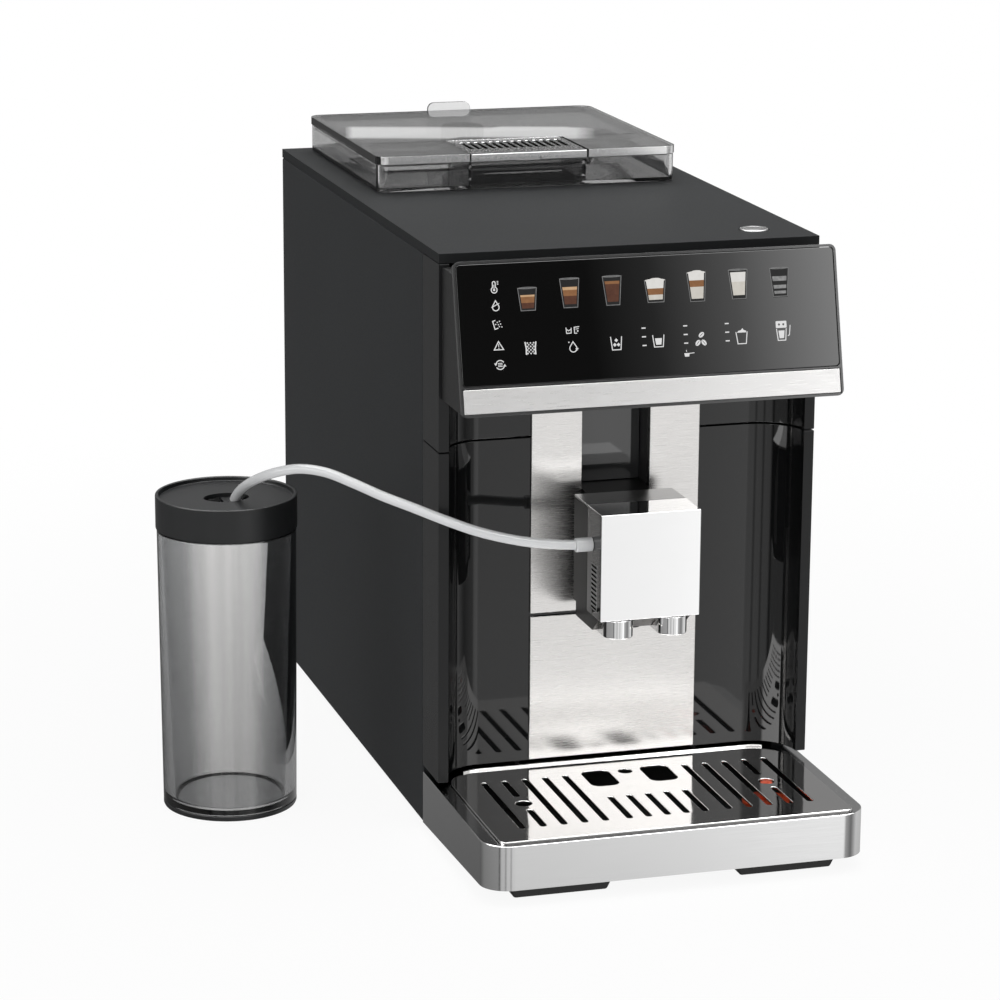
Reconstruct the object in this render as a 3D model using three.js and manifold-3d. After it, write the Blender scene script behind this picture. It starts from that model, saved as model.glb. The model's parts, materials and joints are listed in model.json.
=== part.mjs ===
// A bean-to-cup coffee machine with its milk container beside it, as separate pieces.
// Millimetres, +Z up, +X to the right and +Y to the back as seen from the front.
// The machine is laid out from its centre plane (x = 0), the front face of the housing (y = 0)
// and the table (z = 0). The exported group then moves the centre of the whole base to the origin.

import * as THREE from 'three';
import { mergeVertices } from 'three/addons/utils/BufferGeometryUtils.js';
import Module from 'manifold-3d';

// Fits
const fitGap = 0.3;            // between fixed neighbours
const slideGap = 0.6;          // round a piece that slides
const overrun = 4;             // how far a cutting tool runs past the face it opens

// Facets
const roundSides = 24;
const smallSides = 12;
const curveSteps = 3;          // each arc of an outline takes twice as many edges
const fineCurveSteps = 5;

// Housing
const bodyWidth = 210;
const bodyDepth = 360;
const bodyHeight = 324;        // table to the top of the cover
const coverThickness = 5.2;
const shellWall = 2.4;
const bodyLift = 3.5;          // table to the lower edge of the side panels
const flangeWidth = 8;         // returned edges of the side panels
const baseThickness = 3;
const runnerX = 75;            // runners under the drip tray
const runnerWidth = 16;
const footRadius = 11;
const footChamfer = 1.2;
const footInset = 22;          // foot centre in from the side of the body
const footFrontY = 52;
const footFromBack = 25;

// Front frame and the niche for the cup
const frameDepth = 31.5;       // side of the front frame, up to its seam with the side panel
const frameStrip = 5.6;        // width of the narrow strip beside the niche
const frameWall = 2;
const stripLip = 8;
const frameBottom = 36;
const seamDrop = 106;          // seam between lower and upper frame, under the top of the cover
const nicheDepth = 22;         // front face of the steel plates
const nicheFacets = 9;
const plateThickness = 1.2;
const plateOuter = 94.8;       // overall width across both steel plates
const plateBottom = 120;
const channelWidth = 37.8;     // recess in which the dispenser head rides
const channelDepth = 38;
const channelBottom = 122;
const channelHidden = 15.5;    // the channel runs this far up behind the panel
const rodRadius = 3;
const rodSpacing = 22;
const rodFromBack = 12;        // rod axis in front of the back of the channel

// Control panel
const panelWidth = 209;
const panelBottomOut = 42.8;   // how far its lower edge stands out in front of the housing
const panelTopOut = 23.7;
const panelDrop = 77.5;        // its lower edge, under the top of the cover
const bezelBorder = 1.3;
const bezelThickness = 2.4;
const bezelCorner = 3.5;
const bezelDivider = 0.9;
const glassSet = 0.2;          // how far glass and trim lie behind the bezel's face
const trimHeight = 13.2;
const housingInset = 1.1;      // panel housing inside the bezel's outline
const ledgeDrop = 7;           // the ledge behind the bezel lies below the cover's top
const boardThickness = 1.6;
const boardMargin = 14;
const chipHeight = 2.4;
const chipSize = 12;
const chipPitch = 26;
const chipCount = 7;

// Power button in the top cover
const buttonX = 78;
const buttonY = 27.5;
const buttonRadius = 7.8;
const buttonProud = 0.5;
const buttonSkirt = 3.2;
const buttonGap = 0.5;

// Dispenser head
const headWidth = 55;
const headOut = 38.8;          // front plate in front of the housing
const headBack = 8.5;
const headTop = 188.8;
const plateFoot = 131;         // lower edge of the chrome cover
const headBottom = 121.5;
const coverWall = 1.2;
const coverReturn = 23.8;      // depth of the cover's side returns
const chinSet = 6.7;           // start of the slope under the body, behind the front plate
const chamferRun = 11.6;
const neckBottom = 140;
const neckGap = 1.8;           // between the neck and the back of the channel
const spoutWidth = 16.2;
const spoutSpacing = 30;
const spoutDepth = 23;
const spoutBottom = 120.3;
const spoutSet = 0.5;          // spout behind the front plate
const spoutBore = 2.6;
const nozzleRadius = 3.4;
const nozzleWall = 1.7;
const nozzleFoot = 119.2;
const nozzleTop = 128;
const nozzleY = -12;
const nippleY = -22.8;
const nippleZ = 169.5;
const nippleRadius = 3.3;
const nippleBore = 1.4;
const nippleOut = 1.2;
const nippleIn = 7;
const ventCount = 9;
const ventPitch = 2.5;
const ventWidth = 1.2;
const ventLength = 9;
const ventSlant = 0.6;         // radians
const ventLow = 136;
const ventY = -27;

// Drip tray
const trayOut = 95.4;
const trayCorner = 15;
const trayRim = 32.4;
const traySkin = 1.2;
const flangeThickness = 1.2;    // steel border round the grate, folded in from the band
const trayFrontLift = 8.2;
const trayRearLift = 3.2;
const basinBottom = 9;
const basinWall = 2.4;
const basinRimDepth = 5.4;
const ledgeWidth = 4;
const ledgeBelowRim = 2.8;
const grateTop = 34;
const grateThickness = 1.2;
const grateWidth = 194;
const grateOut = 92.6;
const grateBack = 20.8;
const grateCorner = 3.5;
const leastCorner = 0.5;       // of an outline drawn in by more than its corner
const grateRearCorner = 20.4;    // the rear corners clear the curved niche wall
const grateLipRise = 1.1;      // the rear edge is folded up a little
const grateLipReach = 7;       // the fold follows the rear corners this far
const slotWidth = 3.5;
const slotCurveSteps = 2;
const slotPitch = 11.4;
const innerSlotPitch = 10.5;
const slotBack = 0;
const slotFront = 74.4;
const shortSlotBack = 43;
const splitBack = 26.3;
const splitFront = 47.3;
const floatHole = 4.4;
const floatOut = 37.6;
const windowWidth = 17.5;
const windowDepth = 14.9;
const windowX = 16.6;
const windowOut = 15.8;
const windowCorner = 4;
const trayFootInner = 37;
const trayFootOuter = 87.5;
const trayFootOut = 85.3;
const trayFootDepth = 23;
const trayFootFlare = 4.4;
const floatRadius = 9;
const floatHeight = 12;
const floatStem = 3;
const floatStemTop = 32;

// Grounds drawer
const drawerBottom = 37;
const drawerTop = 118;
const drawerLength = 115;
const drawerWall = 1.8;
const drawerRadius = 6;
const drawerDrop = 1.5;        // bin lies inside the outline of its steel front by this much

// Chassis and what it carries
const chassisHalf = 50;
const chassisWall = 2.5;
const chassisDrop = 44;        // top of its side walls, under the top of the cover
const shelfTop = 121.5;
const grinderHeight = 68.5;    // shelf to the foot of the hopper's throat
const bayDepth = 58;           // front face of the wall before the tank, from the back of the body
const bayDrop = 8;             // top of the walls round the tank, under the top of the cover

// Bean hopper
const hopperWidth = 177.6;
const hopperDepth = 168.5;
const hopperFromBack = 5;
const hopperHeight = 15.7;
const hopperCorner = 7;
const hopperWall = 2;
const lidThickness = 4.4;
const lidOverhang = 0.5;
const lidRimDepth = 3;
const funnelHalf = 80;
const funnelAhead = 22;        // upper edges of the funnel, in front of and behind the throat's axis
const funnelBehind = 36;
const throatRadius = 15;
const throatDrop = 34;         // foot of the throat, under the top of the cover
const throatHeight = 4;
const flapWidth = 70.4;
const flapDepth = 50;
const flapPin = 1.1;
const flapPinLength = 1.8;
const gripCount = 14;
const gripPitch = 4.4;
const gripWidth = 2.2;
const gripLength = 13;
const gripFromFront = 22;
const gripDepth = 2.9;
const notchWidth = 14;
const notchHeight = 1.8;
const chuteDepth = 22;
const chuteSet = 4;            // chute behind the hopper's front wall
const knobRadius = 13;
const knobHeight = 9;
const knobBehind = 65;         // behind the throat's axis
const knobRibs = 12;
const knobGroove = 1.5;        // radius of the grooves between the ribs
const knobSkirt = 2.2;

// Grinder
const grinderFromBack = 98;
const grinderRadius = 34;
const grinderCavity = 24;
const grinderFloor = 12;
const spoutRise = 12;          // top of the spout that throws the ground coffee forward
const spoutRoot = 6;
const burrRadius = 20;
const burrHeight = 18;
const burrTeeth = 12;
const burrLip = 4.5;
const burrNose = 6.7;
const toothGap = 2.5;
const toothFoot = 2.2;
const shaftRadius = 4;
const motorRadius = 29;
const motorCap = 12.5;
const motorStep = 2;

// Brewing unit
const brewY = 100;
const brewHalf = 36;
const brewDepth = 32;
const brewHeight = 95;
const brewPlate = 8;
const chamberX = -4;           // chamber and piston axis in the unit
const chamberY = -2;
const chamberRadius = 26;
const chamberBore = 22.2;
const chamberBottom = 12;
const chamberHeight = 40;
const chamberFloor = 6;
const pistonRadius = 21.5;
const pistonStem = 10.8;
const pistonFoot = 66;
const screwX = 31;
const screwRadius = 3;
const lugHeight = 12;
const lugWidth = 16;
const brewMotorRadius = 15;
const brewMotorHeight = 38;
const brewMotorNeck = 4;

// Thermoblock, pump, power board, inlet
const blockDepth = 30;
const blockLength = 84;
const blockHeight = 80;
const blockY = 120;
const blockZ = 180;
const blockFins = 6;
const finGap = 5;
const finDepth = 10;
const stubInset = 8;
const stubSpacing = 56;
const stubHeight = 15;
const stubRadius = 3.8;
const pumpRadius = 15;
const pumpLength = 70;
const coilLength = 42;
const pumpHeadRadius = 10;
const pumpPipeRadius = 4.2;
const pumpPipeLength = 17;
const pumpFromBay = 87;
const pumpAxis = 22.4;
const saddleWidth = 24;
const powerBoardLength = 110;
const powerBoardHeight = 90;
const powerBoardY = 150;
const powerBoardZ = 185;
const postLength = 4;
const postInset = 4;
const postRadius = 2;
// Parts on the power board: [along from its front end, up, width, height, out]
const boardParts = [[12, 12, 36, 30, 24], [58, 12, 12, 18, 12], [76, 12, 12, 18, 12], [94, 12, 12, 18, 12]];
const canPlaces = [[68, 72], [92, 72]];
const canLength = 18;
const canRadius = 6;
const inletX = -70;
const inletZ = 42;
const inletWidth = 27;
const inletHeight = 20;
const inletDepth = 24;
const inletWall = 2.5;
const pinRecess = 8;           // pin ends behind the mouth of the inlet
const pinHeight = 5;
const earthRise = 2.5;         // the middle pin stands above the two others
const rearSlotCount = 9;
const rearSlotPitch = 7;
const rearSlotWidth = 3;
const rearSlotHeight = 30;
const rearSlotX = 20;
const rearSlotZ = 30;

// Water tank
const tankWidth = 150;
const tankWall = 2.2;
const tankCorner = 6;
const tankDrop = 11;           // its rim, under the top of the cover
const bayFloorTop = 96.4;
const tabWidth = 27;
const tabRise = 25.2;          // above the top of the cover
const tabCorner = 4;
const valveRadius = 6;
const valveStem = 3.6;
const valveDrop = 8;

// Milk container
const cupSides = 32;
const cupX = -196.7;
const cupY = 104;
const cupBaseRadius = 37;
const cupTopRadius = 38.2;
const cupWall = 2.2;
const cupFloor = 4;
const cupHeight = 158;
const ringHeight = 10;
const ringWall = 1.6;
const lidRadius = 38.8;
const lidBottom = 158.4;
const lidTop = 177;
const lidRecess = 2.5;
const lidRimWidth = 2;
const lidPlug = 6;
const wellHalfWidth = 12.5;
const wellHalfDepth = 9.75;
const wellCurveSteps = 12;
const bridgeLeft = -1.5;
const bridgeRight = 9;
const bridgeThickness = 2;
const portX = 3.6;
const portY = -4.2;
const portRadius = 3.6;
const portHeight = 1.4;

// Milk hose, with the route chosen by hand
const hoseRadius = 2.65;
const cuffRadius = 3.3;
const cuffLength = 8;
const hoseSides = 8;
const hoseStep = 7;
const hoseRoute = [
  [-193.1, 99.8, 174], [-193.1, 99.8, 176.5], [-191.4, 95, 181], [-187, 84, 186.4],
  [-178.6, 69.8, 195.2], [-166.5, 57, 200],
  [-155, 44.5, 200.3], [-143.5, 31.5, 197], [-131, 17, 192.6], [-118, 3.5, 188.8],
  [-105, -8.5, 184.6], [-88, -17.5, 179], [-66, -22.6, 173.7], [-46, -23.2, 170.6],
  [-37, -22.9, 169.7],
];

// Places that follow from the sizes above
const bodyHalf = bodyWidth / 2;
const footRearY = bodyDepth - footFromBack;
const frameSeam = bodyHeight - seamDrop;
const panelBottom = bodyHeight - panelDrop;
const channelTop = panelBottom + channelHidden;
const chassisTop = bodyHeight - chassisDrop;
const throatBottom = bodyHeight - throatDrop;
const grinderShelfTop = throatBottom - grinderHeight;
const bayFront = bodyDepth - bayDepth;
const bayTop = bodyHeight - bayDrop;
const pumpY = bayFront - pumpFromBay;
const tankTop = bodyHeight - tankDrop;
const tabTop = bodyHeight + tabRise;
const grinderY = bodyDepth - grinderFromBack;
const knobY = grinderY + knobBehind;
const funnelFront = grinderY - funnelAhead;
const funnelRear = grinderY + funnelBehind;
const hopperBack = bodyDepth - hopperFromBack;
const hopperFront = hopperBack - hopperDepth;
const coverBottom = bodyHeight - coverThickness;
const shellTop = coverBottom - fitGap;
const baseBottom = bodyLift + fitGap;
const baseTop = baseBottom + baseThickness;
const rearFace = bodyDepth - shellWall;
const nicheWall = nicheDepth + plateThickness + fitGap;
const nicheBack = nicheWall + frameWall;
const stripInner = bodyHalf - frameStrip;
const cornerX = stripInner - nicheWall;
const channelHalf = channelWidth / 2;
const channelFront = nicheBack + fitGap;
const channelBack = nicheDepth + channelDepth;
const rodY = channelBack - rodFromBack;
const drawerHalf = plateOuter / 2;
const headHalf = headWidth / 2;
const headShelf = headTop - coverWall - fitGap;
const returnBack = coverReturn - headOut;
const panelLean = Math.atan2(panelBottomOut - panelTopOut, bodyHeight - panelBottom);
const panelHeight = (bodyHeight - panelBottom) / Math.cos(panelLean);
const grateHalf = grateWidth / 2;
const floatX = 6 * slotPitch;
const trayBack = frameDepth - fitGap;
const hopperHalf = hopperWidth / 2;
const hopperFoot = bodyHeight + fitGap;
const hopperRim = hopperFoot + hopperHeight;
const hopperFloorTop = hopperFoot + hopperWall;
const lidBase = hopperRim + fitGap;
const lidFace = lidBase + lidThickness;
const flapBack = hopperFront + flapDepth;
const bayBack = bayFront + chassisWall;
const tankHalf = tankWidth / 2;
const tankBottom = bayFloorTop + fitGap;
const tankFront = bayBack + slideGap;
const tankBack = bodyDepth - fitGap;
const valveY = (tankFront + tankBack) / 2;
const grinderBottom = grinderShelfTop + fitGap;
const grinderTop = throatBottom - fitGap;

// Surface finishes, by name
const finishes = {
  housing: { color: 0x343536, roughness: 0.55, metalness: 0.1 },
  gloss: { color: 0x161719, roughness: 0.12, metalness: 0 },
  dark: { color: 0x1d1e20, roughness: 0.6, metalness: 0 },
  steel: { color: 0xc9c5bf, roughness: 0.32, metalness: 0.9 },
  chrome: { color: 0xe4e5e6, roughness: 0.06, metalness: 1 },
  zinc: { color: 0x9a9c9e, roughness: 0.5, metalness: 0.8 },
  smoke: { color: 0x6d6e70, roughness: 0.15, metalness: 0, transparent: true, opacity: 0.45 },
  clear: { color: 0xb9bcc0, roughness: 0.1, metalness: 0, transparent: true, opacity: 0.35 },
  hose: { color: 0xe9e7e3, roughness: 0.4, metalness: 0 },
  red: { color: 0xc8331c, roughness: 0.5, metalness: 0 },
  board: { color: 0x1f5a3a, roughness: 0.6, metalness: 0 },
};

// Solids

const wasm = await Module();
wasm.setup();

function toSolid(geometry) {
  const bare = geometry.clone();
  bare.deleteAttribute('normal');
  bare.deleteAttribute('uv');
  const welded = mergeVertices(bare);
  return new wasm.Manifold(new wasm.Mesh({
    numProp: 3,
    vertProperties: Float32Array.from(welded.attributes.position.array),
    triVerts: Uint32Array.from(welded.index.array),
  }));
}

function toGeometry(solid) {
  const mesh = solid.getMesh();
  const geometry = new THREE.BufferGeometry();
  geometry.setAttribute('position', new THREE.BufferAttribute(mesh.vertProperties, mesh.numProp));
  geometry.setIndex(new THREE.BufferAttribute(mesh.triVerts, 1));
  return geometry;
}

function cut(geometry, ...tools) {
  let solid = toSolid(geometry);
  for (const tool of tools.flat()) solid = solid.subtract(toSolid(tool));
  return toGeometry(solid);
}

function join(...geometries) {
  const [first, ...others] = geometries.flat().map(toSolid);
  return toGeometry(others.reduce((whole, next) => whole.add(next), first));
}

function block(x0, x1, y0, y1, z0, z1) {
  const geometry = new THREE.BoxGeometry(x1 - x0, y1 - y0, z1 - z0);
  return geometry.translate((x0 + x1) / 2, (y0 + y1) / 2, (z0 + z1) / 2);
}

function outline(points) {
  return new THREE.Shape(points.map(([a, b]) => new THREE.Vector2(a, b)));
}

function roundedRect(a0, a1, b0, b1, radius) {
  const shape = new THREE.Shape();
  shape.absarc(a1 - radius, b0 + radius, radius, -Math.PI / 2, 0);
  shape.absarc(a1 - radius, b1 - radius, radius, 0, Math.PI / 2);
  shape.absarc(a0 + radius, b1 - radius, radius, Math.PI / 2, Math.PI);
  shape.absarc(a0 + radius, b0 + radius, radius, Math.PI, 1.5 * Math.PI);
  return shape;
}

// An outline in x and y, raised from z0 to z1
function prismZ(shape, z0, z1, curveSegments = curveSteps) {
  const geometry = new THREE.ExtrudeGeometry(shape, { depth: z1 - z0, bevelEnabled: false, curveSegments });
  return geometry.translate(0, 0, z0);
}

// An outline in y and z, from x0 to x1
function prismX(shape, x0, x1, curveSegments = curveSteps) {
  const turn = new THREE.Matrix4().set(0, 0, 1, x0, 1, 0, 0, 0, 0, 1, 0, 0, 0, 0, 0, 1);
  return prismZ(shape, 0, x1 - x0, curveSegments).applyMatrix4(turn);
}

// An outline in x and z, from y0 to y1
function prismY(shape, y0, y1, curveSegments = curveSteps) {
  const turn = new THREE.Matrix4().set(1, 0, 0, 0, 0, 0, -1, y1, 0, 1, 0, 0, 0, 0, 0, 1);
  return prismZ(shape, 0, y1 - y0, curveSegments).applyMatrix4(turn);
}

// A profile of [radius, height] pairs, from the axis and back to it, turned about Z
function turned(profile, segments = roundSides) {
  const points = profile.map(([radius, height]) => new THREE.Vector2(radius, height));
  return new THREE.LatheGeometry(points, segments).rotateX(Math.PI / 2);
}

function barZ(x, y, z0, z1, radius, segments = roundSides) {
  return turned([[0, z0], [radius, z0], [radius, z1], [0, z1]], segments).translate(x, y, 0);
}

function barX(x0, x1, y, z, radius, segments = roundSides) {
  return barZ(0, 0, 0, x1 - x0, radius, segments).rotateY(Math.PI / 2).translate(x0, y, z);
}

function barY(x, y0, y1, z, radius, segments = roundSides) {
  return barZ(0, 0, 0, y1 - y0, radius, segments).rotateX(-Math.PI / 2).translate(x, y0, z);
}

function tubeAlong(route, radius, sides, steps) {
  const path = new THREE.CatmullRomCurve3(route.map((point) => new THREE.Vector3(...point)));
  const section = outline(Array.from({ length: sides }, (_, i) => {
    const angle = (2 * Math.PI * i) / sides;
    return [radius * Math.cos(angle), radius * Math.sin(angle)];
  }));
  return new THREE.ExtrudeGeometry(section, { steps, extrudePath: path, bevelEnabled: false });
}

function piece(group, name, geometry, finish) {
  const mesh = new THREE.Mesh(geometry, new THREE.MeshStandardMaterial(finishes[finish]));
  mesh.name = name;
  group.add(mesh);
  return mesh;
}

const sides = [['left', -1], ['right', 1]];

// Housing shells

// A side panel: outer sheet with an edge returned at the front and at the rear, on side +1 or -1
function sidePanel(side) {
  const outer = side * bodyHalf;
  const inner = side * (bodyHalf - shellWall);
  const edge = side * (bodyHalf - flangeWidth);
  const span = (a, b, ...rest) => block(Math.min(a, b), Math.max(a, b), ...rest);
  const front = frameDepth + fitGap;
  const back = rearFace - fitGap;
  const flangeFoot = baseTop + fitGap;
  return join(
    span(inner, outer, front, bodyDepth, bodyLift, shellTop),
    span(edge, outer, front, front + shellWall, flangeFoot, shellTop),
    span(edge, outer, back - shellWall, back, flangeFoot, shellTop),
  );
}

function rearPanel() {
  const half = bodyHalf - shellWall - fitGap;
  const sheet = block(-half, half, rearFace, bodyDepth, baseBottom, shellTop);
  const opening = tankHalf + slideGap;
  const bay = block(-opening, opening, rearFace - overrun, bodyDepth + overrun,
    tankBottom - fitGap - valveDrop - slideGap, bodyHeight);
  const socket = block(inletX - inletWidth / 2 - fitGap, inletX + inletWidth / 2 + fitGap,
    rearFace - overrun, bodyDepth + overrun,
    inletZ - inletHeight / 2 - fitGap, inletZ + inletHeight / 2 + fitGap);
  const slots = Array.from({ length: rearSlotCount }, (_, i) => {
    const x = rearSlotX + i * rearSlotPitch;
    return block(x, x + rearSlotWidth, rearFace - overrun, bodyDepth + overrun,
      rearSlotZ, rearSlotZ + rearSlotHeight);
  });
  return cut(sheet, bay, socket, slots);
}

function topCover() {
  const plate = block(-bodyHalf, bodyHalf, 0, bodyDepth, coverBottom, bodyHeight);
  const well = block(-funnelHalf - slideGap, funnelHalf + slideGap, hopperFront + hopperWall,
    funnelRear + hopperWall + slideGap, coverBottom - overrun, bodyHeight + overrun);
  const tabGate = block(-tabWidth / 2 - slideGap, tabWidth / 2 + slideGap,
    tankBack - tankWall - slideGap, bodyDepth + overrun, coverBottom - overrun, bodyHeight + overrun);
  const button = barZ(buttonX, buttonY, coverBottom - overrun, bodyHeight + overrun,
    buttonRadius + buttonGap);
  return cut(plate, well, tabGate, button);
}

function basePlate() {
  const half = bodyHalf - shellWall - fitGap;
  const plate = block(-half, half, frameDepth + fitGap, rearFace - fitGap, baseBottom, baseTop);
  const runnerTop = basinBottom - fitGap;
  const runners = sides.map(([, side]) => {
    const x = side * runnerX;
    return block(x - runnerWidth / 2, x + runnerWidth / 2, 0, frameDepth + runnerWidth,
      baseBottom, runnerTop);
  });
  return join(plate, runners);
}

function footPad() {
  return turned([
    [0, 0], [footRadius - footChamfer, 0], [footRadius, footChamfer], [footRadius, bodyLift], [0, bodyLift],
  ], smallSides);
}

// Front frame: narrow strips at the sides, and between them the niche wall, flat in the middle and
// curving forward to the strips
function framePlan() {
  const arc = (radius, from, to, count) => Array.from({ length: count + 1 }, (_, i) => {
    const angle = from + ((to - from) * i) / count;
    return [cornerX + radius * Math.cos(angle), radius * Math.sin(angle)];
  });
  const backRadius = nicheWall + frameWall;
  const lipAngle = Math.asin(stripLip / backRadius);
  const right = [
    ...arc(nicheWall, Math.PI / 2, 0, nicheFacets),
    [bodyHalf, 0],
    [bodyHalf, frameDepth],
    [bodyHalf - frameWall, frameDepth],
    [bodyHalf - frameWall, stripLip],
    ...arc(backRadius, lipAngle, Math.PI / 2, nicheFacets),
  ];
  const left = right.map(([x, y]) => [-x, y]).reverse();
  return outline([...right, ...left]);
}

function channelSlot(z0, z1) {
  const half = channelHalf;
  return block(-half, half, nicheWall - overrun, nicheBack + overrun, z0, z1);
}

function lowerFrame() {
  const body = prismZ(framePlan(), frameBottom, frameSeam - fitGap);
  const half = drawerHalf - drawerDrop + slideGap;
  const gate = block(-half, half, nicheWall - overrun, nicheBack + overrun,
    frameBottom - overrun, drawerTop + fitGap);
  return cut(body, gate, channelSlot(channelBottom, frameSeam + overrun));
}

function upperFrame() {
  const body = prismZ(framePlan(), frameSeam + fitGap, shellTop);
  return cut(body, channelSlot(frameSeam - overrun, channelTop));
}

function steelPlate(side) {
  const a = side * (channelHalf + fitGap);
  const b = side * (plateOuter / 2);
  return block(Math.min(a, b), Math.max(a, b), nicheDepth, nicheDepth + plateThickness,
    plateBottom, channelTop);
}

function channelLiner() {
  const half = channelHalf + frameWall;
  const body = block(-half, half, channelFront, channelBack + frameWall,
    channelBottom - frameWall + fitGap, channelTop + frameWall);
  return cut(body, block(-channelHalf, channelHalf, channelFront - overrun, channelBack,
    channelBottom + fitGap, channelTop));
}

// Control panel

// A point of the leaning front face, as [y, z]: up along the face and in behind it
function onPanel(up, depth) {
  return [
    -panelBottomOut + up * Math.sin(panelLean) + depth * Math.cos(panelLean),
    panelBottom + up * Math.cos(panelLean) - depth * Math.sin(panelLean),
  ];
}

function panelHousing() {
  const behind = bezelThickness + fitGap;
  const ledge = bodyHeight - ledgeDrop;
  const ledgeUp = (z, depth) => (z - panelBottom + depth * Math.sin(panelLean)) / Math.cos(panelLean);
  const back = -fitGap;
  const foot = onPanel(housingInset, behind);
  const head = onPanel(ledgeUp(ledge, behind), behind);
  const wedge = outline([foot, head, [back, ledge], [back, foot[1]]]);
  const innerFoot = onPanel(ledgeUp(foot[1] + shellWall, behind + shellWall), behind + shellWall);
  const innerHead = onPanel(ledgeUp(ledge - shellWall, behind + shellWall), behind + shellWall);
  const hollow = outline([
    innerFoot, innerHead, [back + overrun, ledge - shellWall], [back + overrun, foot[1] + shellWall],
  ]);
  const half = panelWidth / 2 - housingInset;
  const soffitRadius = nicheWall - slideGap;
  const soffit = new THREE.Shape();
  soffit.moveTo(-cornerX - soffitRadius, back - overrun);
  soffit.lineTo(cornerX + soffitRadius, back - overrun);
  soffit.lineTo(cornerX + soffitRadius, 0);
  soffit.absarc(cornerX, 0, soffitRadius, 0, Math.PI / 2);
  soffit.absarc(-cornerX, 0, soffitRadius, Math.PI / 2, Math.PI);
  const tongue = cut(
    prismZ(soffit, foot[1], foot[1] + shellWall, fineCurveSteps),
    block(-drawerHalf - slideGap, drawerHalf + slideGap, nicheDepth - fitGap, nicheBack,
      foot[1] - overrun, foot[1] + overrun),
  );
  const shell = cut(prismX(wedge, -half, half), prismX(hollow, -half + shellWall, half - shellWall));
  return join(shell, tongue);
}

// The bezel, glass and trim lie in the leaning frame: x across, z up along the face, y into the panel
function bezelFrame() {
  const half = panelWidth / 2;
  const inner = half - bezelBorder;
  const plate = prismY(roundedRect(-half, half, 0, panelHeight, bezelCorner), 0, bezelThickness);
  const trimTop = bezelBorder + trimHeight;
  const window = prismY(roundedRect(-inner, inner, trimTop + bezelDivider, panelHeight - bezelBorder,
    bezelCorner - bezelBorder), -overrun, bezelThickness + overrun);
  const slot = block(-inner, inner, -overrun, bezelThickness + overrun, bezelBorder, trimTop);
  return cut(plate, window, slot);
}

function panelGlass() {
  const half = panelWidth / 2 - bezelBorder - fitGap;
  const low = bezelBorder + trimHeight + bezelDivider + fitGap;
  const high = panelHeight - bezelBorder - fitGap;
  return prismY(roundedRect(-half, half, low, high, bezelCorner - bezelBorder), glassSet, bezelThickness);
}

function panelTrim() {
  const half = panelWidth / 2 - bezelBorder - fitGap;
  return block(-half, half, glassSet, bezelThickness, bezelBorder + fitGap,
    bezelBorder + trimHeight - fitGap);
}

function controlBoard() {
  const half = panelWidth / 2 - boardMargin;
  const front = bezelThickness + fitGap + shellWall + fitGap;
  const low = trimHeight + boardMargin;
  const high = panelHeight - boardMargin;
  const middle = (low + high) / 2;
  const board = block(-half, half, front, front + boardThickness, low, high);
  const chips = Array.from({ length: chipCount }, (_, i) => {
    const x = (i - (chipCount - 1) / 2) * chipPitch;
    const back = front + boardThickness;
    return block(x - chipSize / 2, x + chipSize / 2, back - fitGap, back + chipHeight,
      middle - chipSize / 2, middle + chipSize / 2);
  });
  return join(board, chips);
}

function powerButton() {
  const top = bodyHeight + buttonProud;
  return turned([
    [0, top - buttonSkirt], [buttonRadius, top - buttonSkirt], [buttonRadius, top - buttonProud],
    [buttonRadius - buttonProud, top], [0, top],
  ]).translate(buttonX, buttonY, 0);
}

// Dispenser head

function headCover() {
  const inner = headHalf - coverWall;
  const box = block(-headHalf, headHalf, -headOut, returnBack, plateFoot, headTop);
  const lid = block(-headHalf, headHalf, -headOut, headBack, headTop - coverWall, headTop);
  const room = block(-inner, inner, -headOut + coverWall, returnBack + overrun,
    plateFoot - overrun, headTop - coverWall);
  const vents = Array.from({ length: ventCount }, (_, i) => {
    const slot = block(-headHalf - overrun, -inner + fitGap, -ventLength / 2, ventLength / 2,
      -ventWidth / 2, ventWidth / 2);
    return slot.rotateX(ventSlant).translate(0, ventY, ventLow + i * ventPitch);
  });
  const hole = barX(-headHalf - overrun, -inner + overrun, nippleY, nippleZ, nippleRadius + fitGap);
  return cut(join(cut(box, room), lid), vents, hole);
}

function headBody() {
  const front = headHalf - coverWall - fitGap;
  const inside = block(-front, front, -headOut + coverWall + fitGap, returnBack + 2 * fitGap,
    plateFoot + fitGap, headShelf);
  const rear = block(-headHalf, headHalf, returnBack + fitGap, headBack, plateFoot - fitGap, headShelf);
  const low = plateFoot - fitGap;
  const chinFront = -headOut + chinSet;
  const chin = prismX(outline([
    [chinFront, low + fitGap],
    [chinFront, low],
    [chinFront + chamferRun, headBottom],
    [headBack, headBottom],
    [headBack, low + fitGap],
  ]), -front, front);
  const neckHalf = channelHalf - slideGap;
  const neck = block(-neckHalf, neckHalf, returnBack + overrun, channelBack - neckGap, neckBottom, headShelf);
  const rods = sides.map(([, side]) => barZ(side * (rodSpacing / 2), rodY,
    neckBottom - overrun, headTop + overrun, rodRadius + slideGap));
  const spouts = sides.map(([, side]) => prismZ(spoutPlan(side, fitGap), spoutBottom - overrun,
    plateFoot - fitGap / 2));
  const nozzle = barZ(0, nozzleY, headBottom - overrun, nozzleTop + fitGap, nozzleRadius + fitGap);
  const nipple = barX(-headHalf - overrun, -headHalf + nippleIn + fitGap, nippleY, nippleZ,
    nippleRadius + fitGap);
  return cut(join(inside, rear, chin, neck), rods, spouts, nozzle, nipple);
}

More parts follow.
